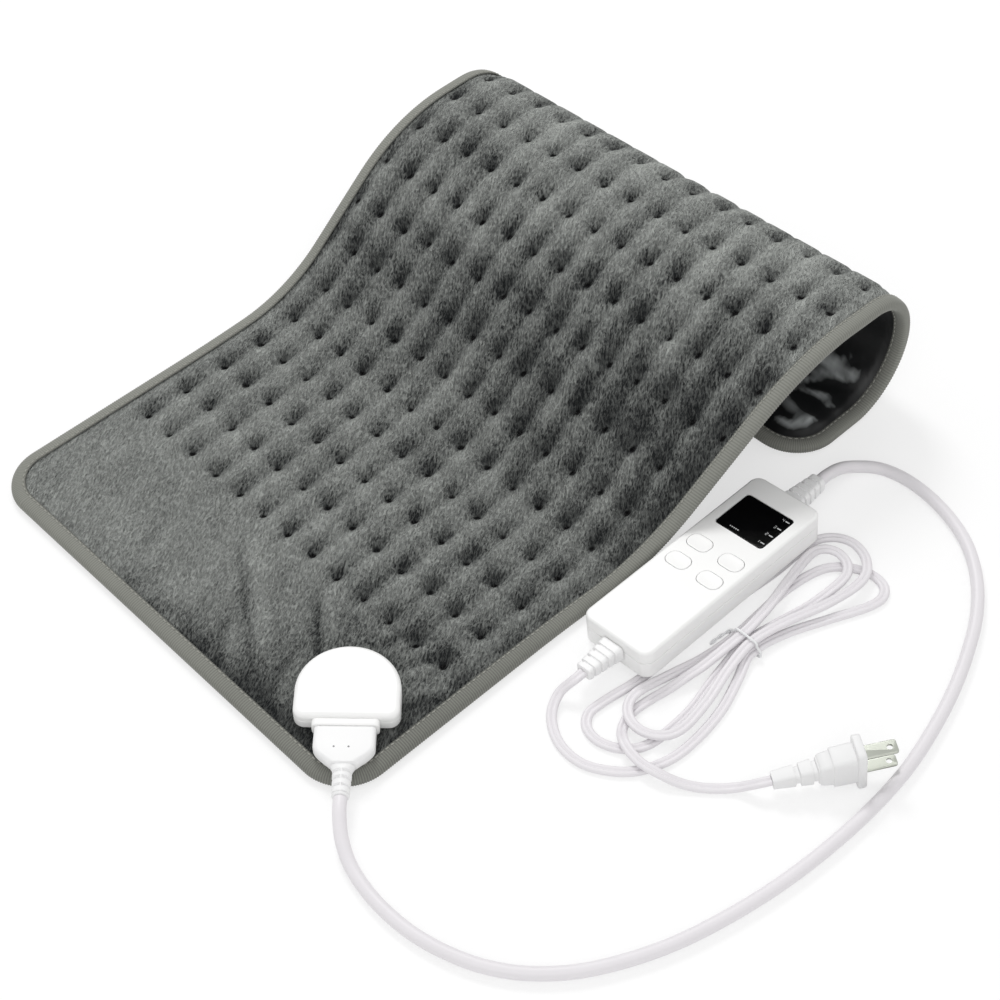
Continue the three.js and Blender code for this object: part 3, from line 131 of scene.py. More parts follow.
class ShaderTree:
    """The node tree of a material while it is built."""

    def __init__(self, name: str) -> None:
        """Starts a material with one Principled shader.

        Args:
            name: the material's name.
        """
        self.material = bpy.data.materials.new(name)
        self.material.use_nodes = True
        self.nodes = self.material.node_tree.nodes
        self.links = self.material.node_tree.links
        self.nodes.clear()
        self.output = self.nodes.new("ShaderNodeOutputMaterial")
        self.shader = self.nodes.new("ShaderNodeBsdfPrincipled")
        self.links.new(self.shader.outputs[0], self.output.inputs[0])

    def node(self, kind: str, settings: dict[str, Any] | None = None,
             inputs: dict[Any, Any] | None = None, output: int | str = 0) -> Value:
        """Adds a node.

        Args:
            kind: the node's type.
            settings: its properties, or stops for a colour ramp, which are set first.
            inputs: a value or a link for each named or numbered socket.
            output: the socket that is given back.

        Returns:
            The output socket as a Value.
        """
        made = self.nodes.new(kind)
        for name, setting in (settings or {}).items():
            if name == "stops":
                self._set_stops(made, setting)
            else:
                setattr(made, name, setting)
        for key, value in (inputs or {}).items():
            self.feed(made.inputs[key], value)
        return Value(self, made.outputs[output])

    @staticmethod
    def _set_stops(ramp: bpy.types.Node, stops: Profile) -> None:
        """Gives a colour ramp its stops, each a place and a grey level.

        Args:
            ramp: the colour ramp.
            stops: places and grey levels.
        """
        elements = ramp.color_ramp.elements
        while len(elements) < len(stops):
            elements.new(0.5)
        for element, (place, level) in zip(elements, stops):
            element.position = place
            element.color = (level, level, level, 1)

    def feed(self, socket: bpy.types.NodeSocket, value: Any) -> None:
        """Links a Value to a socket, or sets a plain value on it.

        Args:
            socket: an input socket.
            value: a Value, a colour or a number.
        """
        if isinstance(value, Value):
            self.links.new(value.socket, socket)
        elif isinstance(value, tuple) and len(value) == 3 and socket.type == "RGBA":
            socket.default_value = (*value, 1.0)
        else:
            socket.default_value = value

    def place(self) -> Value:
        """Object coordinates, in metres."""
        return self.node("ShaderNodeTexCoord", output="Object")

    def surface(self) -> Value:
        """The piece's own UV map."""
        return self.node("ShaderNodeTexCoord", output="UV")

    def stretched(self, vector: Value, scale: Triple,
                  turn: float = 0.0) -> Value:
        """A vector turned about Z and scaled along each axis."""
        turned = self.node("ShaderNodeMapping", {}, {"Vector": vector, "Rotation": (0, 0, turn)})
        return self.node("ShaderNodeMapping", {}, {"Vector": turned, "Scale": scale})

    def noise(self, vector: Value, scale: float, detail: float = 2.0,
              roughness: float = 0.5) -> Value:
        """Noise from about 0 to 1."""
        inputs = {"Vector": vector, "Scale": scale, "Detail": detail, "Roughness": roughness}
        return self.node("ShaderNodeTexNoise", {}, inputs)

    def streaks(self, vector: Value, scale: Triple, turn: float = 0.0, detail: float = 2.0,
                roughness: float = 0.5) -> Value:
        """Noise that is stretched along one way."""
        return self.noise(self.stretched(vector, scale, turn), 1.0, detail, roughness)

    def ramp(self, value: Value, stops: Profile) -> Value:
        """A value through a curve of grey levels."""
        return self.node("ShaderNodeValToRGB", {"stops": stops}, {0: value})

    def mix(self, share: Any, first: Any, second: Any) -> Value:
        """Mixes two colours."""
        return self.node("ShaderNodeMix", {"data_type": "RGBA"},
                         {"Factor": share, 6: first, 7: second}, 2)

    def attribute(self, name: str) -> Value:
        """A number that is stored on the piece's vertices."""
        return self.node("ShaderNodeAttribute", {"attribute_name": name}, output="Fac")

    def bump(self, height: Value, distance: float, strength: float = 1.0,
             normal: Value | None = None) -> Value:
        """A normal from a height, whose full swing is distance millimetres.

        Args:
            height: the height, from 0 to 1.
            distance: its full swing.
            strength: how much of it counts.
            normal: a normal that it adds to.

        Returns:
            The normal.
        """
        inputs = {"Height": height, "Distance": distance * MM, "Strength": strength}
        if normal is not None:
            inputs["Normal"] = normal
        return self.node("ShaderNodeBump", {}, inputs)

    def seen(self) -> Value:
        """1 where a ray from the camera, a mirror or glass arrives, and 0 for light.

        Returns:
            The share as a Value.
        """
        camera, mirror, glass = (self.node("ShaderNodeLightPath", output=f"Is {kind} Ray")
                                 for kind in ("Camera", "Glossy", "Transmission"))
        return 1 - (1 - camera) * (1 - mirror) * (1 - glass)

    def set(self, **values: Any) -> None:
        """Sets or links the shader's sockets, with _ for a space in a name."""
        for name, value in values.items():
            self.feed(self.shader.inputs[name.replace("_", " ")], value)


class WorldTree(ShaderTree):
    """The node tree of the world while it is built."""

    def __init__(self, name: str) -> None:
        """Starts a world with one white background.

        Args:
            name: the world's name.
        """
        self.world = bpy.data.worlds.new(name)
        self.world.use_nodes = True
        self.nodes = self.world.node_tree.nodes
        self.links = self.world.node_tree.links
        self.shader = self.nodes["Background"]
        self.set(Color=(1.0, 1.0, 1.0))


# Finishes


@dataclass(frozen=True)
class Finish:
    """A material: its name, its colour and how rough it is."""

    name: str
    colour: Colour
    roughness: float

    @functools.cache
    def material(self) -> bpy.types.Material:
        """The material, made once.

        Returns:
            The material.
        """
        tree = ShaderTree(self.name)
        tree.set(Base_Color=self.colour, Roughness=self.roughness)
        self.shade(tree)
        return tree.material

    def darker(self, share: float) -> Colour:
        """A share of the colour."""
        return tuple(c * share for c in self.colour)

    def shade(self, tree: ShaderTree) -> None:
        """Adds what this kind of finish has beyond one colour."""


@dataclass(frozen=True)
class Moulded(Finish):
    """Moulded plastic or rubber, with a fine grain and slight flow marks."""

    grain: float = 0.02
    grain_scale: float = 2600.0
    cloud: float = 0.03

    def shade(self, tree: ShaderTree) -> None:
        """Grain in the normal, clouds in colour and roughness.

        Args:
            tree: the material's node tree.
        """
        place = tree.place()
        clouds = tree.noise(place, 38.0, 3.0)
        tree.set(Base_Color=tree.mix(clouds, self.darker(1 - self.cloud), self.colour),
                 Roughness=clouds * 0.08 + (self.roughness - 0.04))
        tree.set(Normal=tree.bump(tree.noise(place, self.grain_scale, 2.0), self.grain, 0.5))


@dataclass(frozen=True)
class Gloss(Finish):
    """A glossy dark lens with a faint haze."""

    def shade(self, tree: ShaderTree) -> None:
        """Fine scratches in the roughness.

        Args:
            tree: the material's node tree.
        """
        haze = tree.streaks(tree.place(), (60, 900, 60), 0.6, 4.0)
        tree.set(Roughness=haze * 0.06 + self.roughness, Coat_Weight=0.1, Coat_Roughness=0.04,
                 Specular_IOR_Level=0.2)


@dataclass(frozen=True)
class Metal(Finish):
    """Plated or drawn metal with fine lines."""

    lines: Triple = (900, 60, 60)

    def shade(self, tree: ShaderTree) -> None:
        """Drawn lines in roughness and normal.

        Args:
            tree: the material's node tree.
        """
        lines = tree.streaks(tree.place(), self.lines, 0.0, 3.0)
        tree.set(Metallic=1.0, Roughness=lines * 0.16 + (self.roughness - 0.08),
                 Normal=tree.bump(lines, 0.01, 0.4))


@dataclass(frozen=True)
class Plush(Finish):
    """Short dense pile, with painted light and shade in its colour: painted shade in its pits and
    creases.
    """

    shade_colour: Colour = linear(28, 30, 31)
    light_colour: Colour = linear(169, 172, 168)

    def shade(self, tree: ShaderTree) -> None:
        """Painted light and shade, random patches, fine tips and painted shade in the pits.

        Args:
            tree: the material's node tree.
        """
        surface = tree.surface()
        patches = tree.streaks(surface, (48, 80, 1), -2.2, 3.0, 0.6)
        tips = tree.streaks(surface, (280, 820, 1), -2.18, 2.0, 0.6)
        locks = tree.streaks(surface, (190, 520, 1), -2.12, 1.5, 0.5)
        fibres = tree.streaks(surface, (700, 2100, 1), -2.0)
        # The pad's painted light and shade with random tone, and how deep each pinhole's painted
        # shade is.
        nap, pit = tree.attribute("nap"), tree.attribute("pit")
        spots = tree.ramp(tips * 0.62 + fibres * 0.38, [(0.36, 0.0), (0.66, 1.0)])
        fleck = tree.ramp(nap, [(0.0, 0.1), (0.25, 0.46)])
        lines = tree.ramp((locks - 0.5) ** 2, [(0.0, 1.0), (0.005, 0.0)])
        level = (nap + (patches - 0.5) * 0.32 + (spots - 0.5) * fleck
                 + (lines - 0.35) * fleck * 0.5)
        whole = tree.ramp(level, [(0.0, 0.0), (1.0, 1.0)])
        body = tree.mix(whole, self.shade_colour, self.light_colour)
        # Painted shade: near black in the pinholes.
        colour = tree.mix(tree.ramp(pit, [(0.14, 0.0), (0.5, 1.0)]), body, linear(5, 5, 6))
        coarse = tree.bump(tips + lines * 0.35, 1.4, 1.0)
        tree.set(Base_Color=colour, Normal=tree.bump(fibres, 0.6, 0.9, coarse),
                 Sheen_Weight=0.12, Sheen_Roughness=0.4, Sheen_Tint=(0.82, 0.86, 0.84, 1.0),
                 Specular_IOR_Level=0.1)


@dataclass(frozen=True)
class Satin(Finish):
    """A smooth dark backing cloth with a sheen."""

    # Painted highlight colour of the slack folds.
    fold_highlight_colour: Colour = linear(222, 227, 227)

    def shade(self, tree: ShaderTree) -> None:
        """Painted highlights on the folds, a fine weave and soft creases.

        Args:
            tree: the material's node tree.
        """
        surface = tree.surface()
        creases = tree.streaks(surface, (44, 26, 1), 0.7, 3.0, 0.55)
        weave = tree.streaks(surface, (2600, 2600, 1), 0.0, 1.0)
        # Painted highlights where the backing falls in folds.
        share = tree.ramp(tree.attribute("fold") + creases * 0.12 - 0.06, [(0.28, 0.0), (1.0, 1.0)])
        tree.set(Base_Color=tree.mix(share, self.colour, self.fold_highlight_colour),
                 Normal=tree.bump(weave, 0.05, 0.5, tree.bump(creases, 2.5, 0.5)),
                 Sheen_Weight=0.25, Sheen_Roughness=0.35, Specular_IOR_Level=0.45)


@dataclass(frozen=True)
class Tape(Finish):
    """Ribbed binding tape."""

    def shade(self, tree: ShaderTree) -> None:
        """Painted shade between the ribs and at the tape's edges, and faint patches along the tape.

        Args:
            tree: the material's node tree.
        """
        place = tree.place()
        patches = tree.noise(place, 14.0, 3.0)
        yarn = tree.noise(place, 1400.0, 2.0)
        # Painted shade from the rib attribute, with random patches and yarn.
        share = tree.attribute("rib") * 0.6 + (patches - 0.5) * 0.4 + yarn * 0.3 - 0.05
        tree.set(Base_Color=tree.mix(share, self.darker(0.38), self.colour),
                 Normal=tree.bump(yarn, 0.12, 0.6),
                 Sheen_Weight=0.15, Sheen_Roughness=0.4, Specular_IOR_Level=0.2)


@dataclass(frozen=True)
class Yarn(Finish):
    """Thread, felt or cloth with a fine uneven surface."""

    scale: float = 1800.0

    def shade(self, tree: ShaderTree) -> None:
        """Uneven fibres in colour and normal.

        Args:
            tree: the material's node tree.
        """
        fibres = tree.noise(tree.place(), self.scale, 3.0)
        tree.set(Base_Color=tree.mix(fibres, self.darker(0.7), self.colour),
                 Normal=tree.bump(fibres, 0.15, 0.6),
                 Specular_IOR_Level=0.2)


@dataclass(frozen=True)
class Backdrop(Finish):
    """White paper that looks evenly lit to the camera, with a softened shadow."""

    glow: float = 0.58

    def shade(self, tree: ShaderTree) -> None:
        """Mixes a white glow in where the paper is seen, and not where it lights.

        Args:
            tree: the material's node tree.
        """
        glow = tree.node("ShaderNodeEmission", {}, {"Color": (1.0, 1.0, 1.0), "Strength": 1.06})
        paper = Value(tree, tree.shader.outputs[0])
        mixed = tree.node("ShaderNodeMixShader", {},
                          {0: tree.seen() * self.glow, 1: paper, 2: glow})
        tree.feed(tree.output.inputs[0], mixed)


PLUSH = Plush("plush", linear(116, 119, 117), 0.95)
SATIN = Satin("backing_satin", linear(14, 15, 16), 0.42)
TAPE = Tape("binding_tape", linear(142, 143, 136), 0.8)
THREAD = Yarn("stitch_thread", linear(168, 168, 160), 0.75)
FELT = Yarn("carrier_felt", linear(216, 212, 200), 0.95, 700.0)
WIRE_SKIN = Moulded("wire_skin", linear(184, 58, 46), 0.5)
CASE = Moulded("case_plastic", linear(246, 246, 245), 0.38)
KEY = Moulded("key_plastic", linear(246, 246, 245), 0.34)
JACKET = Moulded("cord_jacket", linear(232, 229, 232), 0.42, 0.03, 1500.0, 0.04)
GRIP = Moulded("grip_rubber", linear(243, 243, 243), 0.48, 0.03, 1800.0, 0.04)
# Painted shade: the colour of two small holes' insides.
HOLE_SHADE = Moulded("painted_hole_shade", linear(132, 132, 134), 0.5)
PLUG_RUBBER = Moulded("plug_rubber", linear(236, 236, 236), 0.45, 0.03, 1800.0, 0.05)
LENS = Gloss("display_lens", linear(6, 6, 7), 0.06)
MARK = Moulded("display_mark", linear(182, 184, 184), 0.5)
BOARD = Moulded("circuit_board", linear(31, 90, 53), 0.55)
BLOCK = Moulded("component_plastic", linear(34, 34, 36), 0.5)
STEEL = Metal("screw_steel", linear(186, 188, 192), 0.32)
NICKEL = Metal("blade_nickel", linear(176, 179, 170), 0.3, (60, 60, 900))
TIE_SKIN = Moulded("tie_skin", linear(236, 237, 238), 0.42, 0.04, 1200.0, 0.06)
PAPER = Backdrop("floor_paper", (0.92, 0.92, 0.92), 0.8)


# Meshes


@dataclass(frozen=True)
class Placement:
    """Where a sub-assembly's own frame lies: an origin and turns about Z, then Y, in degrees."""

    origin: Triple = (0.0, 0.0, 0.0)
    turn: float = 0.0
    tilt: float = 0.0

    def matrix(self) -> np.ndarray:
        """The rotation as a 3 by 3 array."""
        turn = Matrix.Rotation(math.radians(self.turn), 3, "Z")
        return np.array(turn @ Matrix.Rotation(math.radians(self.tilt), 3, "Y"))

    def apply(self, points: Any) -> np.ndarray:
        """Points of the own frame, in the pad's frame."""
        return np.asarray(points, float) @ self.matrix().T + np.array(self.origin)


@dataclass
class Draft:
    """The vertices and faces of one piece while it is put together."""

    vertices: list[np.ndarray] = field(default_factory=list)
    faces: list[tuple[int, ...]] = field(default_factory=list)
    count: int = 0

    def add(self, vertices: np.ndarray, faces: Iterable[tuple[int, ...]]) -> None:
        """Adds a closed body.

        Args:
            vertices: its places.
            faces: its faces, counted from 0.
        """
        self.vertices.append(np.asarray(vertices, float).reshape(-1, 3))
        self.faces.extend(tuple(i + self.count for i in face) for face in faces)
        self.count += len(self.vertices[-1])

    def loft(self, rings: np.ndarray, closed: bool = False) -> "Draft":
        """Adds a body through rings.

        Args:
            rings: an array of rings by points by three.
            closed: whether the last ring meets the first. Otherwise both ends get a face.

        Returns:
            The draft itself.
        """
        total, around = rings.shape[:2]
        faces: list[tuple[int, ...]] = []
        for r in range(total if closed else total - 1):
            near, far = r * around, (r + 1) % total * around
            for i in range(around):
                j = (i + 1) % around
                faces.append((near + i, near + j, far + j, far + i))
        if not closed:
            faces.append(tuple(range(around))[::-1])
            faces.append(tuple((total - 1) * around + i for i in range(around)))
        self.add(rings, faces)
        return self

    def piece(self, name: str, finish: Finish, place: Placement = Placement(),
              smooth_angle: float = 40.0) -> Piece:
        """Makes the object, with its place in its mesh and its faces outwards.

        Args:
            name: the piece's name.
            finish: its finish.
            place: where its frame lies.
            smooth_angle: edges below this angle are shaded smooth.

        Returns:
            The piece.
        """
        mesh = bpy.data.meshes.new(name)
        points = place.apply(np.concatenate(self.vertices)) * MM
        mesh.from_pydata(points.tolist(), [], self.faces)
        turned = bmesh.new()
        turned.from_mesh(mesh)
        bmesh.ops.recalc_face_normals(turned, faces=turned.faces)
        turned.to_mesh(mesh)
        turned.free()
        mesh.materials.append(finish.material())
        made = linked(name, mesh)
        soften(made, smooth_angle)
        return made


def linked(name: str, data: Any) -> Piece:
    """An object of some data, linked to the scene.

    Args:
        name: the object's name.
        data: its mesh, camera or light.

    Returns:
        The object.
    """
    made = bpy.data.objects.new(name, data)
    bpy.context.scene.collection.objects.link(made)
    return made


def soften(piece: Piece, angle: float) -> None:
    """Shades a piece smooth, with edges over an angle kept sharp."""
    piece.data.polygons.foreach_set("use_smooth", [True] * len(piece.data.polygons))
    piece.data.set_sharp_from_angle(angle=math.radians(angle))


def paint(piece: Piece, name: str, values: np.ndarray) -> None:
    """Stores a number on each vertex."""
    layer = piece.data.attributes.new(name, "FLOAT", "POINT")
    layer.data.foreach_set("value", np.asarray(values, np.float32))


def lay_map(piece: Piece, places: np.ndarray) -> None:
    """Gives a mesh a UV map from two numbers for each vertex, in metres.

    Args:
        piece: the piece.
        places: two numbers for each vertex.
    """
    corners = np.zeros(len(piece.data.loops), np.int32)
    piece.data.loops.foreach_get("vertex_index", corners)
    layer = piece.data.uv_layers.new(name="surface")
    layer.data.foreach_set("uv", places[corners].astype(np.float32).ravel())


def baked(piece: Piece) -> Piece:
    """Turns a piece's modifiers into its mesh.

    Args:
        piece: the piece.

    Returns:
        The piece.
    """
    graph = bpy.context.evaluated_depsgraph_get()
    mesh = bpy.data.meshes.new_from_object(piece.evaluated_get(graph))
    piece.modifiers.clear()
    old = piece.data
    piece.data = mesh
    mesh.name = piece.name
    bpy.data.meshes.remove(old)
    return piece


def cut(piece: Piece, tools: Sequence[Piece], angle: float = 40.0) -> Piece:
    """Takes tools away from a piece, deletes the tools and shades the result.

    Args:
        piece: the piece.
        tools: what is taken away.
        angle: edges below it are smooth.

    Returns:
        The piece.
    """
    for tool in tools:
        change = piece.modifiers.new("cut", "BOOLEAN")
        change.operation = "DIFFERENCE"
        change.solver = "EXACT"
        change.use_self = True
        change.object = tool
    baked(piece)
    for tool in tools:
        mesh = tool.data
        bpy.data.objects.remove(tool)
        bpy.data.meshes.remove(mesh)
    soften(piece, angle)
    return piece


def even_shading(piece: Piece) -> Piece:
    """Lets large faces set the shading of the small ones round them.

    Args:
        piece: the piece.

    Returns:
        The piece.
    """
    change = piece.modifiers.new("even", "WEIGHTED_NORMAL")
    change.keep_sharp = True
    return baked(piece)


def arc(x: float, y: float, radius: float, start: float, end: float, steps: int) -> np.ndarray:
    """Points of a circle's arc, with its angles in degrees."""
    angles = np.radians(np.linspace(start, end, steps + 1))
    return np.stack([x + radius * np.cos(angles), y + radius * np.sin(angles)], 1)


def rounded_rect(width: float, length: float, radius: float, steps: int = 6) -> Outline:
    """An outline function of a rectangle with round corners, which an inset shrinks.

    Args:
        width: its size in x.
        length: its size in y.
        radius: its corners' radius.
        steps: how many steps a corner has.

    Returns:
        The outline function.
    """
    def outline(inset: float) -> np.ndarray:
        """The outline drawn in by an inset.

        Args:
            inset: how far.

        Returns:
            The outline's places.
        """
        r = max(radius - inset, 0.05)
        x, y = width / 2 - inset - r, length / 2 - inset - r
        corners = [(x, y, 0), (-x, y, 90), (-x, -y, 180), (x, -y, 270)]
        return np.concatenate([arc(cx, cy, r, a, a + 90, steps) for cx, cy, a in corners])
    return outline


def stacked(outline: Outline, profile: Profile) -> np.ndarray:
    """Rings of an outline at insets and heights."""
    rings = [(outline(inset), height) for inset, height in profile]
    return np.array([np.column_stack([flat, np.full(len(flat), height)]) for flat, height in rings])


def moved(rings: np.ndarray, x: float, y: float) -> np.ndarray:
    """Rings moved by x and y."""
    return rings + np.array([x, y, 0.0])


def standing(x: float, flat: np.ndarray) -> np.ndarray:
    """A ring that stands across X, from its places in Y and Z."""
    return np.column_stack([np.full(len(flat), x), flat])


def rounding(inset: float, height: float, radius: float, rising: bool,
             steps: int = 5) -> list[Pair]:
    """Steps of an outer edge's rounding, from a wall to a flat that lies at a height.

    Args:
        inset: the wall's inset.
        height: the flat's height.
        radius: the rounding's radius.
        rising: whether the steps go up to the flat, or down to it.
        steps: how many steps there are.

    Returns:
        Insets and heights, from the wall to the flat.
    """
    side = -1 if rising else 1
    angles = [math.pi / 2 * i / steps for i in range(steps + 1)]
    return [(inset + radius * (1 - math.cos(a)), height + side * radius * (1 - math.sin(a)))
            for a in angles]


def prism(name: str, outline: Outline, low: float, high: float, at: Pair = (0.0, 0.0),
          place: Placement = Placement()) -> Piece:
    """A plain upright block of an outline, for cutting with."""
    rings = moved(stacked(outline, [(0.0, low), (0.0, high)]), *at)
    return Draft().loft(rings).piece(name, CASE, place)


def tube(points: np.ndarray, section: np.ndarray, ups: np.ndarray | None = None,
         closed: bool = False) -> np.ndarray:
    """Rings of a section carried along points.

    Args:
        points: the middle of each ring.
        section: places across and above the middle.
        ups: an upward direction at each point, or None for level.
        closed: whether the last point meets the first.

    Returns:
        An array of rings by points by three.
    """
    if closed:
        ahead, behind = np.roll(points, -1, 0), np.roll(points, 1, 0)
    else:
        ahead = np.concatenate([points[1:], points[-1:]])
        behind = np.concatenate([points[:1], points[:-1]])
    along = ahead - behind
    along /= np.linalg.norm(along, axis=1, keepdims=True)
    side = np.cross(along, [0.0, 0.0, 1.0] if ups is None else ups)
    side /= np.linalg.norm(side, axis=1, keepdims=True)
    up = np.cross(side, along)
    return (points[:, None] + side[:, None] * section[None, :, :1]
            + up[:, None] * section[None, :, 1:])


def round_outline(radius: float, sides: int) -> Outline:
    """An outline function of a circle, which an inset shrinks."""
    return lambda inset: circle(radius - inset, sides)


def circle(radius: float, sides: int) -> np.ndarray:
    """A round section."""
    angles = (np.arange(sides) + 0.5) / sides * math.tau
    return np.stack([np.cos(angles), np.sin(angles)], 1) * radius


def through(points: Sequence[Sequence[float]], step: float) -> np.ndarray:
    """A centripetal curve through points, sampled about every step.

    Args:
        points: the points.
        step: the distance between samples.

    Returns:
        The samples.
    """
    known = np.asarray(points, float)
    known = np.concatenate([[2 * known[0] - known[1]], known, [2 * known[-1] - known[-2]]])
    samples = []
    for a, b, c, d in zip(known, known[1:], known[2:], known[3:]):
        t = np.cumsum([0.0] + [max(math.sqrt(np.linalg.norm(q - p)), 1e-3)
                               for p, q in ((a, b), (b, c), (c, d))])
        count = max(1, round(float(np.linalg.norm(c - b)) / step))
        at = t[1] + (t[2] - t[1]) * (np.arange(count) / count)[:, None]
        ab = (a * (t[1] - at) + b * (at - t[0])) / (t[1] - t[0])
        bc = (b * (t[2] - at) + c * (at - t[1])) / (t[2] - t[1])
        cd = (c * (t[3] - at) + d * (at - t[2])) / (t[3] - t[2])
        first = (ab * (t[2] - at) + bc * (at - t[0])) / (t[2] - t[0])
        second = (bc * (t[3] - at) + cd * (at - t[1])) / (t[3] - t[1])
        samples.append((first * (t[2] - at) + second * (at - t[1])) / (t[2] - t[1]))
    return np.concatenate([*samples, known[-2:-1]])


def length_of(points: np.ndarray) -> float:
    """The length of a line through points."""
    return float(np.linalg.norm(np.diff(points, axis=0), axis=1).sum())


class Body(str, Enum):
    """The moving bodies that pieces ride on."""

    PAD = "pad"
    CONTROL = "control_set"
    POWER = "power_key"
    TIMER = "timer_key"
    DOWN = "heat_down_key"
    UP = "heat_up_key"


def mount(piece: Piece, body: Body, slot: str, *nodes: str) -> Piece:
    """Rides a finished piece on a body and hides the solids that it stands for.

    Args:
        piece: the piece.
        body: the body that it rides on.
        slot: not used.
        nodes: the solids that it stands for.

    Returns:
        The piece.
    """
    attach(piece, body.value)
    if nodes:
        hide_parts(*nodes)
    LOG.info("%s: %d vertices on %s", piece.name, len(piece.data.vertices), body.value)
    return piece


def along_x(outline: Outline, profile: Profile, middle: Pair = (0.0, 0.0)) -> np.ndarray:
    """Rings that stand across X.

    Args:
        outline: the section, whose places are taken as Y and Z.
        profile: each ring's X and inset.
        middle: the section's place in Y and Z.

    Returns:
        An array of rings by points by three.
    """
    return np.array([standing(x, outline(inset) + np.array(middle)) for x, inset in profile])


class Repeat:
    """Sets copies of one small rounded form along a line, with Geometry Nodes."""

    def __init__(self, name: str) -> None:
        """Builds the node group.

        Args:
            name: the group's name.
        """
        self.group = bpy.data.node_groups.new(name, "GeometryNodeTree")
        interface = self.group.interface
        kinds = {"Line": "Geometry", "Pitch": "Float", "Size": "Vector", "Swing": "Float",
                 "Seed": "Int", "Finish": "Material"}
        self.inputs = {}
        for label, kind in kinds.items():
            socket = interface.new_socket(label, in_out="INPUT", socket_type=f"NodeSocket{kind}")
            self.inputs[label] = socket.identifier
        interface.new_socket("Copies", in_out="OUTPUT", socket_type="NodeSocketGeometry")
        source = self.group.nodes.new("NodeGroupInput").outputs
        curve = self._node("GeometryNodeMeshToCurve", {"Mesh": source["Line"]})
        spaced = self._node("GeometryNodeResampleCurve",
                            {"Curve": curve.outputs[0], "Length": source["Pitch"]},
                            {"mode": "LENGTH"})
        tangent = self._node("GeometryNodeInputTangent", {})
        facing = self._node("FunctionNodeAlignRotationToVector", {"Vector": tangent.outputs[0]},
                            {"axis": "X"})
        least = self._node("ShaderNodeMath", {0: source["Swing"], 1: -1.0},
                           {"operation": "MULTIPLY"})
        swing = self._node("FunctionNodeRandomValue",
                           {2: least.outputs[0], 3: source["Swing"], "Seed": source["Seed"]},
                           {"data_type": "FLOAT"})
        turn = self._node("ShaderNodeCombineXYZ", {"Z": swing.outputs[1]})
        turned = self._node("FunctionNodeRotateRotation",
                            {"Rotation": facing.outputs[0], "Rotate By": turn.outputs[0]},
                            {"rotation_space": "LOCAL"})
        form = self._node("GeometryNodeMeshUVSphere", {"Segments": 10, "Rings": 6, "Radius": 0.5})
        copies = self._node("GeometryNodeInstanceOnPoints",
                            {"Points": spaced.outputs[0], "Instance": form.outputs[0],
                             "Rotation": turned.outputs[0], "Scale": source["Size"]})
        real = self._node("GeometryNodeRealizeInstances", {"Geometry": copies.outputs[0]})
        dressed = self._node("GeometryNodeSetMaterial",
                             {"Geometry": real.outputs[0], "Material": source["Finish"]})
        self._node("NodeGroupOutput", {0: dressed.outputs[0]})

    def _node(self, kind: str, inputs: dict[Any, Any],
              settings: dict[str, Any] | None = None) -> bpy.types.Node:
        """Adds a node with its settings first, then its links and values.

        Args:
            kind: the node's type.
            inputs: a value or a link for each socket.
            settings: its properties.

        Returns:
            The node.
        """
        made = self.group.nodes.new(kind)
        for name, value in (settings or {}).items():
            setattr(made, name, value)
        for key, value in inputs.items():
            if isinstance(value, bpy.types.NodeSocket):
                self.group.links.new(value, made.inputs[key])
            else:
                made.inputs[key].default_value = value
        return made

    def along(self, name: str, lines: Sequence[np.ndarray], pitch: float,
              size: Triple, finish: Finish, swing: float = 0.0, seed: int = 1) -> Piece:
        """Makes one piece of all the copies.

        Args:
            name: the piece's name.
            lines: lines of points, in millimetres.
            pitch: the distance between copies.
            size: each copy's size along the line, across it and off it.
            finish: the copies' finish.
            swing: how far each copy may turn, in radians.
            seed: the seed of the turns.

        Returns:
            The piece, with real geometry.
        """
        mesh = bpy.data.meshes.new(name)
        edges, start = [], 0
        for line in lines:
            edges += [(start + i, start + i + 1) for i in range(len(line) - 1)]
            start += len(line)
        mesh.from_pydata((np.concatenate(lines) * MM).tolist(), edges, [])
        made = linked(name, mesh)
        change = made.modifiers.new("repeat", "NODES")
        change.node_group = self.group
        values = {"Pitch": pitch * MM, "Size": tuple(s * MM for s in size), "Swing": swing,
                  "Seed": seed, "Finish": finish.material()}
        for label, value in values.items():
            change[self.inputs[label]] = value
        baked(made)
        soften(made, 60.0)
        return made


# The pad


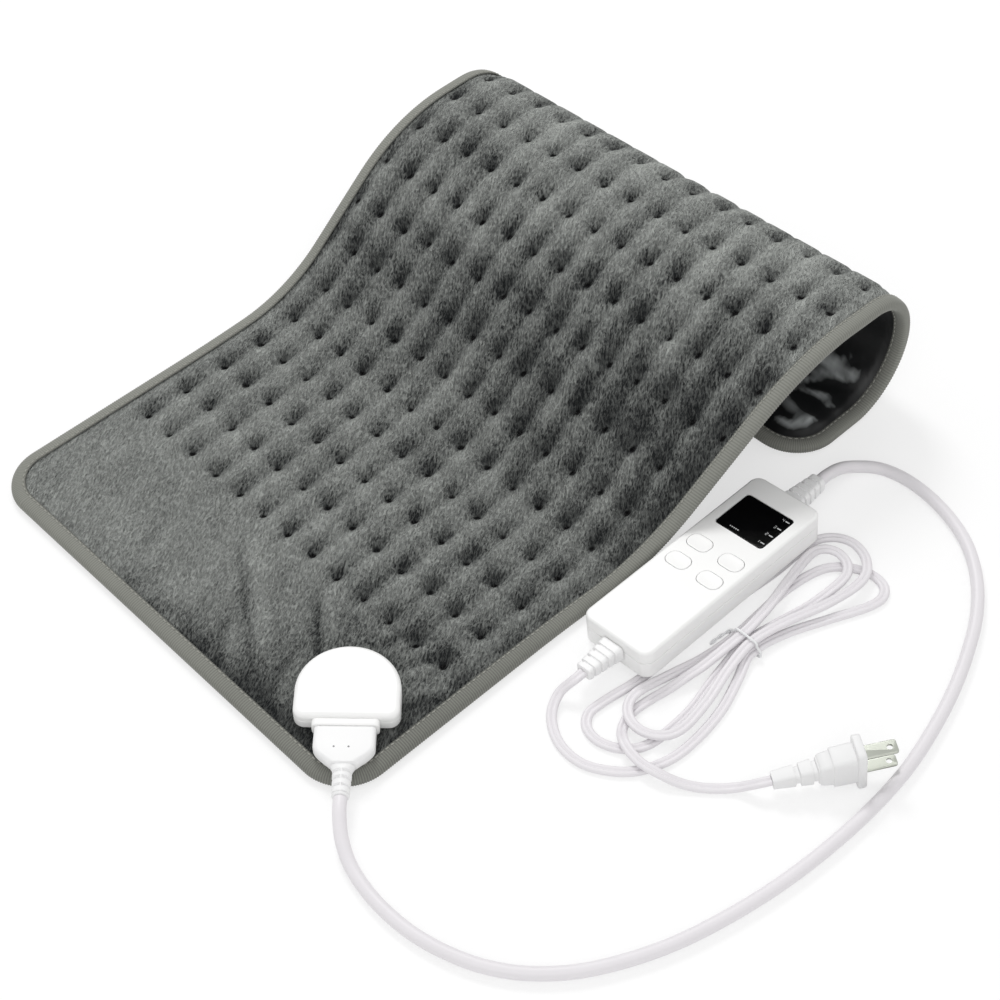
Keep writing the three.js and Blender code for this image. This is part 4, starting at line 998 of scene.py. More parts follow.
@dataclass(frozen=True)
class PadShape:
    """The pad's outline, laid flat as x and s, and the curve that it follows along s."""

    front_half_width: float = 147.0
    tail_half_width: float = 160.0
    widening: Pair = (133.0, 403.0)
    corner: float = 28.0
    front_y: float = -91.0
    flat: float = 181.0
    rise: float = math.radians(35)
    rise_radius: float = 114.0
    crest_height: float = 70.0
    crest: float = 18.0
    fold_radius: float = 30.65
    tail: float = 51.0
    spread_along: float = 9.0
    spread_up: float = 15.0
    even_half_width: float = 110.0
    outer_width: float = 42.0
    corner_run: float = 20.0

    def stretches(self) -> list[Pair]:
        """The length and turn of each stretch along the pad.

        Returns:
            Pairs of length and turn.
        """
        climb = self.crest_height - 2 * self.rise_radius * (1 - math.cos(self.rise))
        bend = self.rise_radius * self.rise
        return [(self.flat, 0.0), (bend, self.rise), (climb / math.sin(self.rise), 0.0),
                (bend, -self.rise), (self.crest, 0.0), (self.fold_radius * math.pi, -math.pi),
                (self.tail, 0.0)]

    @property
    def length(self) -> float:
        """The pad's length along the curve."""
        return sum(length for length, _ in self.stretches())

    def point(self, x: Any, s: Any, n: Any) -> np.ndarray:
        """The place of a point across, along and above the pad's underside.

        Args:
            x: places across the pad.
            s: places along the pad.
            n: heights above the underside.

        Returns:
            Places in the pad's frame.
        """
        x, s, n = np.broadcast_arrays(np.asarray(x, float), np.asarray(s, float),
                                      np.asarray(n, float))
        y, z, heading = np.full(s.shape, self.front_y), np.zeros(s.shape), np.zeros(s.shape)
        left = s.copy()
        for length, turn in self.stretches():
            run = np.clip(left, 0.0, length)
            if turn:
                radius = length / turn
                ahead = heading + run / radius
                y = y + radius * (np.sin(ahead) - np.sin(heading))
                z = z + radius * (np.cos(heading) - np.cos(ahead))
                heading = ahead
            else:
                y, z = y + run * np.cos(heading), z + run * np.sin(heading)
            left = left - run
        fold_end = self.length - self.tail
        fold_start = fold_end - self.fold_radius * math.pi
        right = (1 + x / self.tail_half_width) / 2
        right = right * smoothstep(s, self.flat, fold_start - self.crest)
        y = y + self.spread_along * right - np.sin(heading) * n
        kept = 1 - smoothstep(s, fold_start, fold_end)
        z = z + self.spread_up * right * kept + np.cos(heading) * n
        return np.stack([x, y, z], -1)

    def half_width(self, s: Any) -> Any:
        """Half the pad's width at a place along it."""
        share = smoothstep(s, *self.widening)
        return self.front_half_width + (self.tail_half_width - self.front_half_width) * share

    def reach(self, s: Any, inset: float) -> Any:
        """How far across the pad goes at s, drawn in by an inset.

        Args:
            s: places along the pad.
            inset: how far the edge is drawn in.

        Returns:
            The distance from the middle.
        """
        cut_in = np.clip(self.corner - np.minimum(s, self.length - s), 0.0, None)
        radius = self.corner - inset
        bulge = np.sqrt(np.clip(radius ** 2 - cut_in ** 2, 0.0, None))
        return self.half_width(s) - self.corner + bulge

    def depth(self, x: Any, s: Any) -> Any:
        """How far in from the edge a place lies.

        Args:
            x: places across the pad.
            s: places along the pad.

        Returns:
            The distance from the edge.
        """
        from_end = np.minimum(s, self.length - s)
        across = np.abs(x) - (self.half_width(s) - self.corner)
        straight = np.minimum(self.half_width(s) - np.abs(x), from_end)
        round_off = self.corner - np.hypot(across, self.corner - from_end)
        return np.where((across > 0) & (from_end < self.corner), round_off, straight)

    def rows(self, inset: float, step: float) -> np.ndarray:
        """Places along the pad, closer together where the corners turn.

        Args:
            inset: how far the edge is drawn in.
            step: the distance between rows.

        Returns:
            The places of the rows.
        """
        turns = np.linspace(0, math.pi / 2, max(4, round(self.corner_run / step)))
        ends = self.corner - (self.corner - inset) * np.cos(turns)
        middle = np.linspace(self.corner, self.length - self.corner,
                             round((self.length - 2 * self.corner) / step) + 1)
        return np.concatenate([ends[:-1], middle, self.length - ends[-2::-1]])

    def columns(self, rows: np.ndarray, inset: float, step: float) -> np.ndarray:
        """Places across the pad for each row: fixed in the middle, spread to the edge outside.

        Args:
            rows: the places of the rows.
            inset: how far the edge is drawn in.
            step: the distance between columns.

        Returns:
            One row of places for each row.
        """
        fixed = step * np.arange(int(self.even_half_width / step) + 1)
        shares = np.linspace(0, 1, round(self.outer_width / step) + 1)[1:]
        limit = self.reach(rows, inset)[:, None]
        outer = fixed[-1] + (limit - fixed[-1]) * shares
        right = np.concatenate([np.tile(fixed, (len(rows), 1)), outer], 1)
        return np.concatenate([-right[:, :0:-1], right], 1)

    def outline(self, step: float) -> np.ndarray:
        """The edge all round.

        Args:
            step: the distance between places.

        Returns:
            x, s and the direction inwards of each place.
        """
        w, length, c = self.half_width, self.length, self.corner
        quarter = max(4, round(c * math.pi / 2 / step))

        def turn(x: float, s: float, start: float) -> np.ndarray:
            """A round corner.

            Args:
                x: its middle's x.
                s: its middle's s.
                start: its first angle.

            Returns:
                Its places.
            """
            angles = np.radians(start) + np.arange(quarter) / quarter * math.pi / 2
            cos, sin = np.cos(angles), np.sin(angles)
            return np.stack([x + c * cos, s + c * sin, -cos, -sin], 1)

        def line(x0: float, x1: float, s: float, inwards: float) -> np.ndarray:
            """A straight end."""
            xs = np.linspace(x0, x1, round(abs(x1 - x0) / step), endpoint=False)
            return np.stack([xs, np.full(len(xs), s), np.zeros(len(xs)),
                             np.full(len(xs), inwards)], 1)

        def side(s0: float, s1: float, sign: float) -> np.ndarray:
            """A long side."""
            ss = np.linspace(s0, s1, round(abs(s1 - s0) / step), endpoint=False)
            return np.stack([sign * w(ss), ss, np.full(len(ss), -sign), np.zeros(len(ss))], 1)

        front, back = float(w(0.0)) - c, float(w(length)) - c
        return np.concatenate([line(-front, front, 0.0, 1.0), turn(front, c, -90),
                               side(c, length - c, 1.0), turn(back, length - c, 0),
                               line(back, -back, length, -1.0), turn(-back, length - c, 90),
                               side(length - c, c, -1.0), turn(-front, c, 180)])


def rough(xs: np.ndarray, ys: np.ndarray, scale: float, octaves: int = 2,
          seed: float = 0.0) -> np.ndarray:
    """Smooth noise from about -1 to 1 at flat places.

    Args:
        xs: the first places.
        ys: the second places.
        scale: the size of its waves.
        octaves: how many finer levels.
        seed: which noise.

    Returns:
        The noise at each place.
    """
    flat = [noise.fractal(Vector((x / scale, y / scale, seed)), 1.0, 2.0, octaves)
            for x, y in zip(xs.ravel(), ys.ravel())]
    return np.array(flat).reshape(xs.shape)


@dataclass
class Pad:
    """The heating pad: plush cover, satin backing, binding tape and stitches."""

    shape: PadShape = field(default_factory=PadShape)
    step: float = 20.5 / 14
    column_pitch: float = 20.5
    row_pitch: float = 27.8
    front_strip: float = 91.0
    row_count: int = 16
    plain: float = 6.6
    crown: float = 9.75
    column_fall: float = 2.3
    row_fall: float = 0.7
    dimple: float = 1.45
    pinhole: float = 1.5
    lowest: float = 4.45
    cover_base: float = 4.3
    cover_inset: float = 1.2
    backing: float = 1.2
    rim_lift: float = 1.5
    tape_width: float = 8.0
    stitch_pitch: float = 3.5
    stitch_size: Triple = (2.5, 0.75, 0.6)
    stitch_heights: Pair = (7.25, 0.3)
    jitter: float = 0.8
    depth_range: Pair = (0.75, 1.2)
    pinhole_size: Pair = (1.5, 1.9)
    column_warp: float = 1.5
    row_warp: float = 1.6
    # Painted light along the pad: its lowest level, and its levels at places along the pad, darker
    # on the rise and lighter on the crest.
    painted_light_floor: float = 0.07
    painted_light_places: tuple[float, ...] = (0, 80, 120, 200, 235, 268, 292, 325, 350, 400, 560)
    painted_light_levels: tuple[float, ...] = (0.59, 0.57, 0.53, 0.44, 0.34, 0.23, 0.26, 0.43, 0.55, 0.65,
                                     0.51)
    creases: tuple[tuple[float, ...], ...] = (
        (-10.0, 66.0, 50.0, 24.0, 3.4, 0.9), (44.0, 74.0, 76.0, 48.0, 2.6, 1.0),
        (18.0, 34.0, 40.0, 8.0, 3.0, 0.6), (112.0, 72.0, 122.0, 92.0, 2.6, -0.9),
        (96.0, 76.0, 100.0, 94.0, 2.4, -0.8), (62.0, 40.0, 76.0, 12.0, 2.8, 0.8),
        (126.0, 60.0, 138.0, 80.0, 2.6, 0.7), (-60.0, 58.0, -44.0, 22.0, 4.0, 0.35))

    def height(self, x: np.ndarray, s: np.ndarray) -> tuple[np.ndarray, np.ndarray, np.ndarray]:
        """The plush surface at flat places.

        Args:
            x: places across the pad.
            s: places along the pad.

        Returns:
            Its height, how deep in a pit it is, and its painted light and shade, at each place.
        """
        random = np.random.default_rng(7)
        last = self.front_strip + (self.row_count - 1) * self.row_pitch
        warp = rough(x, s, 34.0, 2, 3.1) * self.column_warp
        column = (x + warp) / self.column_pitch
        row = (s - self.front_strip + rough(x, s, 30.0, 2, 8.7) * self.row_warp) / self.row_pitch
        off_column = np.abs(column - np.round(column)) * 2
        off_row = np.abs(row - np.round(row)) * 2
        swell = 1 + 0.1 * rough(x, s, 40.0, 2, 5.3)
        tufted = (self.crown - self.column_fall * (1 - off_column) ** 1.7
                  - self.row_fall * (1 - off_row) ** 2.6) * swell
        across = np.round(x / self.column_pitch).astype(int)
        along = np.round((s - self.front_strip) / self.row_pitch).astype(int)
        along = np.clip(along, 0, self.row_count - 1)
        most = 20
        jitter = random.uniform(-self.jitter, self.jitter, (2 * most, self.row_count, 2))
        depths = random.uniform(*self.depth_range, (2 * most, self.row_count))
        shift = jitter[across + most, along]
        dx = x - across * self.column_pitch - shift[..., 0]
        ds = s - self.front_strip - along * self.row_pitch - shift[..., 1]
        present = smoothstep(self.shape.reach(s, 0.0) - self.tape_width - np.abs(x), 0.0, 4.0)
        present = present * (s < last + 14)
        back = ds - 1.6
        bowl = np.exp(-(np.where(dx < -0.8, (dx + 0.8) / 5.2, (dx + 0.8) / 3.2)) ** 2
                      - np.where(back > 0, back / 6.4, back / 3.0) ** 2)
        pit = np.exp(-((dx / self.pinhole_size[0]) ** 2 + (ds / self.pinhole_size[1]) ** 2) ** 1.2)
        depth = depths[across + most, along] * present
        soft = 0.24 * rough(x, s, 26.0, 3, 1.7) + 0.4 * rough(x + 0.35 * s, s * 0.35, 17.0, 2, 31.0)
        creased = self._creased(x, s)
        strip = self.plain + 0.25 + soft - creased
        share = smoothstep(s, self.front_strip - 13, self.front_strip + 3)
        full = strip + (tufted - strip) * share - depth * (self.dimple * bowl + self.pinhole * pit)
        full = full + 0.16 * rough(x, s, 4.2, 2, 2.2)
        full = self._under_socket(x, s, np.maximum(full, self.lowest))
        inset = self.shape.depth(x, s)
        edge = 5.2 + 0.12 * (inset - self.cover_inset)
        edge = edge - 0.3 * smoothstep(inset, 8.0, 9.4)
        risen = edge + (full - edge) * smoothstep(inset, 9.5, 17.0)
        # Painted light: lighter where the surface stands higher, and painted shade in the creases.
        nap = self._painted_light(x, s, dx, ds, depth) + 0.05 * (full - 8.4) * share - 0.26 * creased
        return risen, pit * depth, np.logaddexp(nap * 18, self.painted_light_floor * 18) / 18

    def _creased(self, x: np.ndarray, s: np.ndarray) -> np.ndarray:
        """How far the creases round the socket press the plain strip down.

        Args:
            x: places across the pad.
            s: places along the pad.

        Returns:
            The depth at each place, which is less than 0 on a crease's ridge.
        """
        low = np.zeros(x.shape)
        for x0, s0, x1, s1, wide, deep in self.creases:
            run = math.hypot(x1 - x0, s1 - s0)
            along = ((x - x0) * (x1 - x0) + (s - s0) * (s1 - s0)) / run
            across = ((x - x0) * (s1 - s0) - (s - s0) * (x1 - x0)) / run
            across = across + 1.2 * rough(x, s, 12.0, 1, 51.0)
            fade = band(along, -9.0, 9.0, run - 9.0, run + 9.0)
            low = low + deep * fade * (np.exp(-(across / wide) ** 2)
                                       - 0.7 * np.exp(-((across + 2.2 * wide) / (1.5 * wide)) ** 2))
        return low

    def _painted_light(self, x: np.ndarray, s: np.ndarray, dx: np.ndarray, ds: np.ndarray,
                 depth: np.ndarray) -> np.ndarray:
        """The pile's painted light and shade, with random patches.

        Args:
            x: places across the pad.
            s: places along the pad.
            dx: distance in x from the nearest pit.
            ds: distance in s from it.
            depth: how deep it is.

        Returns:
            How light each place is painted.
        """
        # Painted light along the pad, and painted shade on the right up to the crest and on the
        # crest's left.
        along = np.interp(s, self.painted_light_places, self.painted_light_levels)
        rise = band(s, 150.0, 260.0, 320.0, 375.0)
        right = (-0.1 * np.clip(x / 150, -0.6, 1) * rise
                 - 0.12 * smoothstep(x, 40.0, 130.0) * (1 - rise) * (s < 330))
        crest = band(s, 315.0, 345.0, 375.0, 400.0)
        right = right - 0.16 * smoothstep(-x, 60.0, 120.0) * crest
        # Darker round the socket and along the front edge, with a lighter line near where the tufts
        # begin.
        near_socket = 0.42 * blob(x, s, (110.0, 36.0), (72.0, 58.0))
        front = (0.34 * (1 - smoothstep(s, 9.0, 25.0)) * smoothstep(x, -80.0, 20.0)
                 * (1 + rough(x, s, 15.0, 2, 41.0)))
        front = front - 0.07 * np.exp(-((s - 83.0) / 3.0) ** 2) * smoothstep(x, -10.0, 40.0)
        patches = rough(x * 1.2, s * 0.9, 36.0, 3, 21.0)
        patches = (0.06 + 0.12 * smoothstep(s, 85.0, 240.0)) * patches
        # Waves from the same noise as the strip's height: painted light on its raised parts, random
        # tone beyond.
        waves = rough(x + 0.35 * s, s * 0.35, 17.0, 2, 31.0)
        waves = (0.06 + 0.1 * smoothstep(x, -60.0, 90.0)) * waves
        # Painted shade behind each pit.
        u, v = dx + 0.2, ds - 0.4
        away = np.hypot(np.where(u < 0, u / 6.0, u / 1.5), np.where(v < 0, v / 2.4, v / 5.8))
        behind = np.exp(-(away ** 1.3)) * depth
        # Painted highlights along the ridges between the pits.
        ridge = (np.sin(dx * math.tau / self.column_pitch) - 0.5 * np.exp(-(dx / 4.2) ** 2)
                 - 0.85 * np.sin(ds * math.tau / self.row_pitch) * np.exp(-(dx / 9.0) ** 2))
        ridge = ridge * smoothstep(s, 80.0, 98.0)
        # Painted highlight on the lit side of each pit.
        rim = blob(dx, ds, (3.4, -4.0), (3.4, 5.0)) * depth
        broad = along + right + patches + waves - near_socket - front
        return broad - 0.3 * behind + 0.08 * ridge + 0.09 * rim

    def _under_socket(self, x: np.ndarray, s: np.ndarray, n: np.ndarray) -> np.ndarray:
        """The plush pressed down under the socket and the connector.

        Args:
            x: places across the pad.
            s: places along the pad.
            n: the height at each place.

        Returns:
            The pressed height.
        """
        flat = np.stack([x, s + self.shape.front_y, np.zeros(x.shape)], -1)
        local = (flat - np.array(SOCKET_PLACE.origin)) @ SOCKET_PLACE.matrix()
        lx, ly = local[..., 0], local[..., 1]
        straight, half, connector_end = Socket.straight, Socket.half_width, 32.0
        off = np.hypot(lx - np.clip(lx, -straight, connector_end), ly)
        n = np.minimum(n, 6.35 + 2.4 * smoothstep(off, 29.0, 46.0))
        riser = np.where(lx < -straight, np.hypot(lx + straight, ly),
                         np.maximum(np.abs(ly), lx + half))
        return n + (self.lowest - n) * (1 - smoothstep(riser, 21.9, 24.5))

    def _grid(self, inset: float, step: float) -> tuple[np.ndarray, np.ndarray, np.ndarray]:
        """The rows of a grid over the pad, and its flat places x and s.

        Args:
            inset: how far the edge is drawn in.
            step: the grid's step.

        Returns:
            The rows, and x and s at each place.
        """
        rows = self.shape.rows(inset, step)
        x = self.shape.columns(rows, inset, step)
        return rows, x, np.tile(rows[:, None], (1, x.shape[1]))

    def cover(self) -> Piece:
        """The plush top cover as one padded piece.

        Returns:
            The piece.
        """
        shape = self.shape
        _, x, s = self._grid(self.cover_inset, self.step)
        n, pit, nap = self.height(x, s)
        top = shape.point(x, s, n)
        base = shape.point(x[:, [0, -1]], s[:, [0, -1]], self.cover_base)
        count, wide = x.shape
        faces = [(r * wide + c, r * wide + c + 1, (r + 1) * wide + c + 1, (r + 1) * wide + c)
                 for r in range(count - 1) for c in range(wide - 1)]
        start = count * wide
        for r in range(count - 1):
            left, right = start + 2 * r, start + 2 * r + 1
            faces.append((left, left + 2, right + 2, right))
            faces.append((r * wide, (r + 1) * wide, left + 2, left))
            faces.append((right, right + 2, (r + 2) * wide - 1, (r + 1) * wide - 1))
        total = start + 2 * count
        faces.append((*range(wide), start + 1, start))
        faces.append((*range(start - 1, start - wide - 1, -1), total - 2, total - 1))
        draft = Draft()
        draft.add(np.concatenate([top.reshape(-1, 3), base.reshape(-1, 3)]), faces)
        piece = draft.piece("plush_cover", PLUSH, smooth_angle=80.0)
        # Stores the pinholes' painted shade and the pile's painted light and shade.
        for name, values in (("pit", pit), ("nap", nap)):
            paint(piece, name, np.concatenate([values.ravel(), np.zeros(2 * count)]))
        flat = np.stack([x, s], -1)
        lay_map(piece, np.concatenate([flat.reshape(-1, 2), flat[:, [0, -1]].reshape(-1, 2)]) * MM)
        return mount(piece, Body.PAD, "plush", "top_cover")

    def underside(self) -> Piece:
        """The satin backing, crumpled where the fold lets it go slack.

        Returns:
            The piece.
        """
        shape, inset = self.shape, 1.6
        rows, x, s = self._grid(inset, 2.6)
        edge = shape.depth(x, s)
        lift = self.rim_lift * (1 - smoothstep(edge, 8.2, 11.0))
        slack = smoothstep(s, 225.0, 275.0) * smoothstep(edge, 9.5, 17.0)
        slack = slack * (0.1 + 0.9 * smoothstep(s, 440.0, 478.0))
        ridge = 1 - np.abs(rough(x * 0.4, s + 0.3 * x, 15.0, 2, 4.4)) * 2.4
        waves = rough(x * 0.35, s, 12.0, 2, 9.1)
        fall = slack * np.clip(1.7 * np.clip(ridge, 0, 1) ** 1.6 + 1.5 * waves + 0.4, 0, 3.2)
        outer = shape.point(x, s, lift - fall)
        inner = shape.point(x, s, lift + self.backing - 0.02)
        count, wide = x.shape
        half = count * wide
        faces = []
        for r in range(count - 1):
            for c in range(wide - 1):
                a, b = r * wide + c, (r + 1) * wide + c
                faces += [(a, a + 1, b + 1, b), (half + a, half + b, half + b + 1, half + a + 1)]
        rim = [*range(wide), *((r + 1) * wide - 1 for r in range(1, count)),
               *range(half - 2, half - wide - 1, -1), *(r * wide for r in range(count - 2, 0, -1))]
        faces += [(a, half + a, half + b, b) for a, b in zip(rim, rim[1:] + rim[:1])]
        draft = Draft()
        draft.add(np.concatenate([outer.reshape(-1, 3), inner.reshape(-1, 3)]), faces)
        piece = draft.piece("satin_backing", SATIN, smooth_angle=80.0)
        # Painted highlights, strongest where the backing falls furthest.
        paint(piece, "fold", np.concatenate([(fall / 3.0).ravel(), np.zeros(half)]))
        lay_map(piece, np.tile(np.stack([x.ravel(), s.ravel()], 1) * MM, (2, 1)))
        area = float(np.trapz(2 * shape.reach(rows, inset), rows)) * MM * MM
        shape.length * MM
        return mount(piece, Body.PAD, "backing", "back_cover")

    def tape(self) -> Piece:
        """The binding tape folded round the edge.

        Returns:
            The piece.
        """
        edge = self.shape.outline(0.7)
        edge = edge[:len(edge) // 2 * 2]
        outer = np.array([(8.0, 0.3), (4.0, 0.3), (1.6, 0.45), (0.5, 1.3), (0.0, 2.8), (0.2, 4.4),
                          (0.9, 5.7), (2.2, 6.55), (4.0, 7.0), (5.8, 7.25), (6.5, 7.2), (7.0, 6.95),
                          (7.5, 7.15), (8.0, 7.1), (8.3, 6.75)])
        inner = np.array([(7.9, 6.35), (5.0, 6.1), (2.5, 5.6), (1.2, 4.4), (0.95, 2.8), (1.4, 1.5),
                          (3.0, 1.2), (8.0, 1.2)])
        heart = np.array([4.0, 3.6])
        away = outer - heart
        away /= np.linalg.norm(away, axis=1, keepdims=True)
        rib = np.where(np.arange(len(edge)) % 2, 0.5, -0.5)[:, None, None] * 0.36
        section = np.concatenate([outer + away * rib, np.tile(inner, (len(edge), 1, 1))], 1)
        inset, n = section[..., 0], section[..., 1]
        x = edge[:, None, 0] + edge[:, None, 2] * inset
        s = edge[:, None, 1] + edge[:, None, 3] * inset
        draft = Draft().loft(self.shape.point(x, s, n), closed=True)
        piece = draft.piece("edge_tape", TAPE, smooth_angle=70.0)
        # Painted shade between the ribs, at both edges of the roll and in the stitch groove; darker
        # near the socket.
        high = np.tile((rib[:, :, 0] > 0).astype(float), (1, section.shape[1]))
        high[:, [0, 13, 14]] = -0.7
        high[:, 11] = 0.1
        near_socket = np.exp(-((x[:, :1] - 130.0) ** 2 + (s[:, :1] - 60.0) ** 2) / 115.0 ** 2)
        high += 0.7 - 0.6 * near_socket
        paint(piece, "rib", high.ravel())
        return mount(piece, Body.PAD, "binding_tape", "edge_binding")

    def stitches(self, repeat: Repeat) -> list[Piece]:
        """The rows of stitches that hold the tape, on the plush and on the backing.

        Args:
            repeat: what sets the copies.

        Returns:
            The pieces.
        """
        edge = self.shape.outline(2.0)
        edge = np.concatenate([edge, edge[:1]])
        x = edge[:, 0] + edge[:, 2] * (self.tape_width - 1.0)
        s = edge[:, 1] + edge[:, 3] * (self.tape_width - 1.0)
        made = []
        for name, height in zip(("top_stitches", "under_stitches"), self.stitch_heights):
            line = self.shape.point(x, s, height)
            piece = repeat.along(name, [line], self.stitch_pitch, self.stitch_size, THREAD, 0.12, 5)
            made.append(mount(piece, Body.PAD, "binding_tape"))
        return made


SOCKET_PLACE = Placement((116.8, -60.3, 0.0), -45.0)
CASE_PLACE = Placement((178.8286, 138.0, 2.5593), 0.0, -7.0)
PLUG_PLACE = Placement((311.5, 105.4, 14.8672), 56.0, -7.0)
CONTACT_HEIGHT = 11.8


@dataclass
class Socket:
    """The low D-shaped socket on the pad's corner."""

    half_width: float = 27.0
    straight: float = 17.5
    corner: float = 6.0
    base: float = 6.9
    top: float = 17.3
    wall: float = 2.0
    edge: float = 2.8
    seam: float = 12.0
    mouth: Pair = (26.0, 6.2)

    def outline(self, inset: float) -> np.ndarray:
        """The D shape drawn in by an inset.

        Args:
            inset: how far.

        Returns:
            The outline's places.
        """
        r = max(self.corner - inset, 0.05)
        y = self.half_width - inset - r
        x = -inset - r
        back = arc(-self.straight, 0, self.half_width - inset, 90, 270, 36)
        return np.concatenate([arc(x, -y, r, -90, 0, 6), arc(x, y, r, 0, 90, 6), back])

    def build(self) -> Piece:
        """The hollow shell with its mouth.

        Returns:
            The piece.
        """
        wall, top = self.wall, self.top
        profile = [(wall, top - wall), (wall, self.base), (0.5, self.base), (0.1, self.base + 0.25),
                   (0.0, self.base + 0.7), (0.0, self.seam - 0.2), (0.28, self.seam),
                   (0.0, self.seam + 0.2), *rounding(0.0, top, self.edge, True, 8),
                   (self.edge + 3.0, top)]
        draft = Draft().loft(stacked(self.outline, profile))
        shell = draft.piece("socket_shell", CASE, SOCKET_PLACE)
        wide, high = (m + 2 * FIT_GAP for m in self.mouth)
        mouth = along_x(rounded_rect(wide, high, 1.2), [(-wall - OVERRUN, 0.0), (OVERRUN, 0.0)],
                        (0.0, CONTACT_HEIGHT))
        cut(shell, [Draft().loft(mouth).piece("mouth", CASE, SOCKET_PLACE)])
        return mount(even_shading(shell), Body.PAD, "case_plastic", "socket_top_shell")


@dataclass
class Connector:
    """The plug in the socket: a collar with a nose, and a soft body that holds the cord."""

    collar: Triple = (34.0, 8.8, 2.4)
    collar_span: Pair = (0.3, 4.3)
    nose: Pair = (26.0, 6.2)
    nose_depth: float = 11.2
    body: Pair = (31.0, 8.4)
    body_start: float = 4.6
    shoulder: float = 12.0
    neck: float = 25.0
    relief: float = 14.5
    relief_radii: Pair = (5.0, 4.4)
    contact_place: float = 5.0
    contact_hole: float = 2.0
    # Two dark discs: painted shade for two small holes.
    hole_shade_x: float = 17.0
    hole_shade_places: Pair = (-4.8, 2.5)
    hole_shade_radius: float = 0.55

    def build(self) -> list[Piece]:
        """The collar and the body.

        Returns:
            The pieces.
        """
        middle = (0.0, CONTACT_HEIGHT)
        start, end = self.collar_span
        wide = [(start, 0.5), (start + 0.15, 0.15), (start + 0.5, 0.0), (end - 0.5, 0.0),
                (end - 0.15, 0.15), (end, 0.5)]
        narrow = [(start - self.nose_depth, 0.4), (start - self.nose_depth + 0.4, 0.0),
                  (start + 0.4, 0.0)]
        collar = Draft().loft(along_x(rounded_rect(*self.collar), wide, middle))
        collar.loft(along_x(rounded_rect(*self.nose, 1.0), narrow, middle))
        front = collar.piece("connector_sleeve", CASE, SOCKET_PLACE)
        bore = [(start - self.nose_depth - OVERRUN, 0.0), (start - 0.6, 0.0)]
        holes = [along_x(round_outline(self.contact_hole, 20), bore,
                         (side * self.contact_place, CONTACT_HEIGHT)) for side in (-1, 1)]
        cut(front, [Draft().loft(hole).piece("hole", CASE, SOCKET_PLACE) for hole in holes])
        return [mount(front, Body.CONTROL, "case_plastic", "connector_collar"),
                mount(self._body(), Body.CONTROL, "cord_jacket", "connector_body"),
                mount(self._hole_shades(), Body.CONTROL, "cord_jacket")]

    def _half_sizes(self, x: float) -> Pair:
        """Half the body's width and height at a place along it.

        Args:
            x: the place.

        Returns:
            Half its width and half its height.
        """
        wide, high = self.body[0] / 2, self.body[1] / 2
        tail = self.body_start + self.neck
        share = float(smoothstep(x, self.body_start + self.shoulder - 1, tail + 0.5))
        wide += (self.relief_radii[0] - wide) * share
        high += (self.relief_radii[0] * 0.9 - high) * share
        if x > tail:
            slim = (x - tail) / self.relief
            wide = self.relief_radii[0] + (self.relief_radii[1] - self.relief_radii[0]) * slim
            high = wide
        return wide, high

    def _body(self) -> Piece:
        """The soft body, with ribs round its tail.

        Returns:
            The piece.
        """
        end = self.body_start + self.neck + self.relief
        xs = [self.body_start + 0.01, *np.arange(self.body_start + 0.5, end - 0.3, 0.5), end]
        rings = []
        for i, x in enumerate(xs):
            wide, high = self._half_sizes(float(x))
            if i in (0, len(xs) - 1):
                wide, high = wide - 0.5, high - 0.5
            tail = x - (self.body_start + self.neck - 4.0)
            corner = min(wide, high) * (0.55 + 0.4 * float(smoothstep(tail, -6.0, 3.0)))
            flat = rounded_rect(2 * wide, 2 * high, corner, 7)(0.0)
            if tail > 0 and x < end - 1.2 and tail % 4.2 < 1.3:
                flat *= 1 - 0.26 * smoothstep(np.abs(flat[:, :1]) / wide, 0.12, 0.3)
            rings.append(standing(float(x), flat + np.array([0.0, CONTACT_HEIGHT])))
        return Draft().loft(np.array(rings)).piece("connector_boot", GRIP, SOCKET_PLACE, 50.0)

    def _hole_shades(self) -> Piece:
        """Two dark discs on the body: painted shade for two small holes.

        Returns:
            The piece.
        """
        top = CONTACT_HEIGHT + self.body[1] / 2
        draft = Draft()
        profile = [(0.0, top - 0.3), (0.0, top + 0.02)]
        rings = stacked(round_outline(self.hole_shade_radius, 16), profile)
        for y in self.hole_shade_places:
            draft.loft(moved(rings, self.hole_shade_x, y))
        return draft.piece("connector_hole_shades", HOLE_SHADE, SOCKET_PLACE)


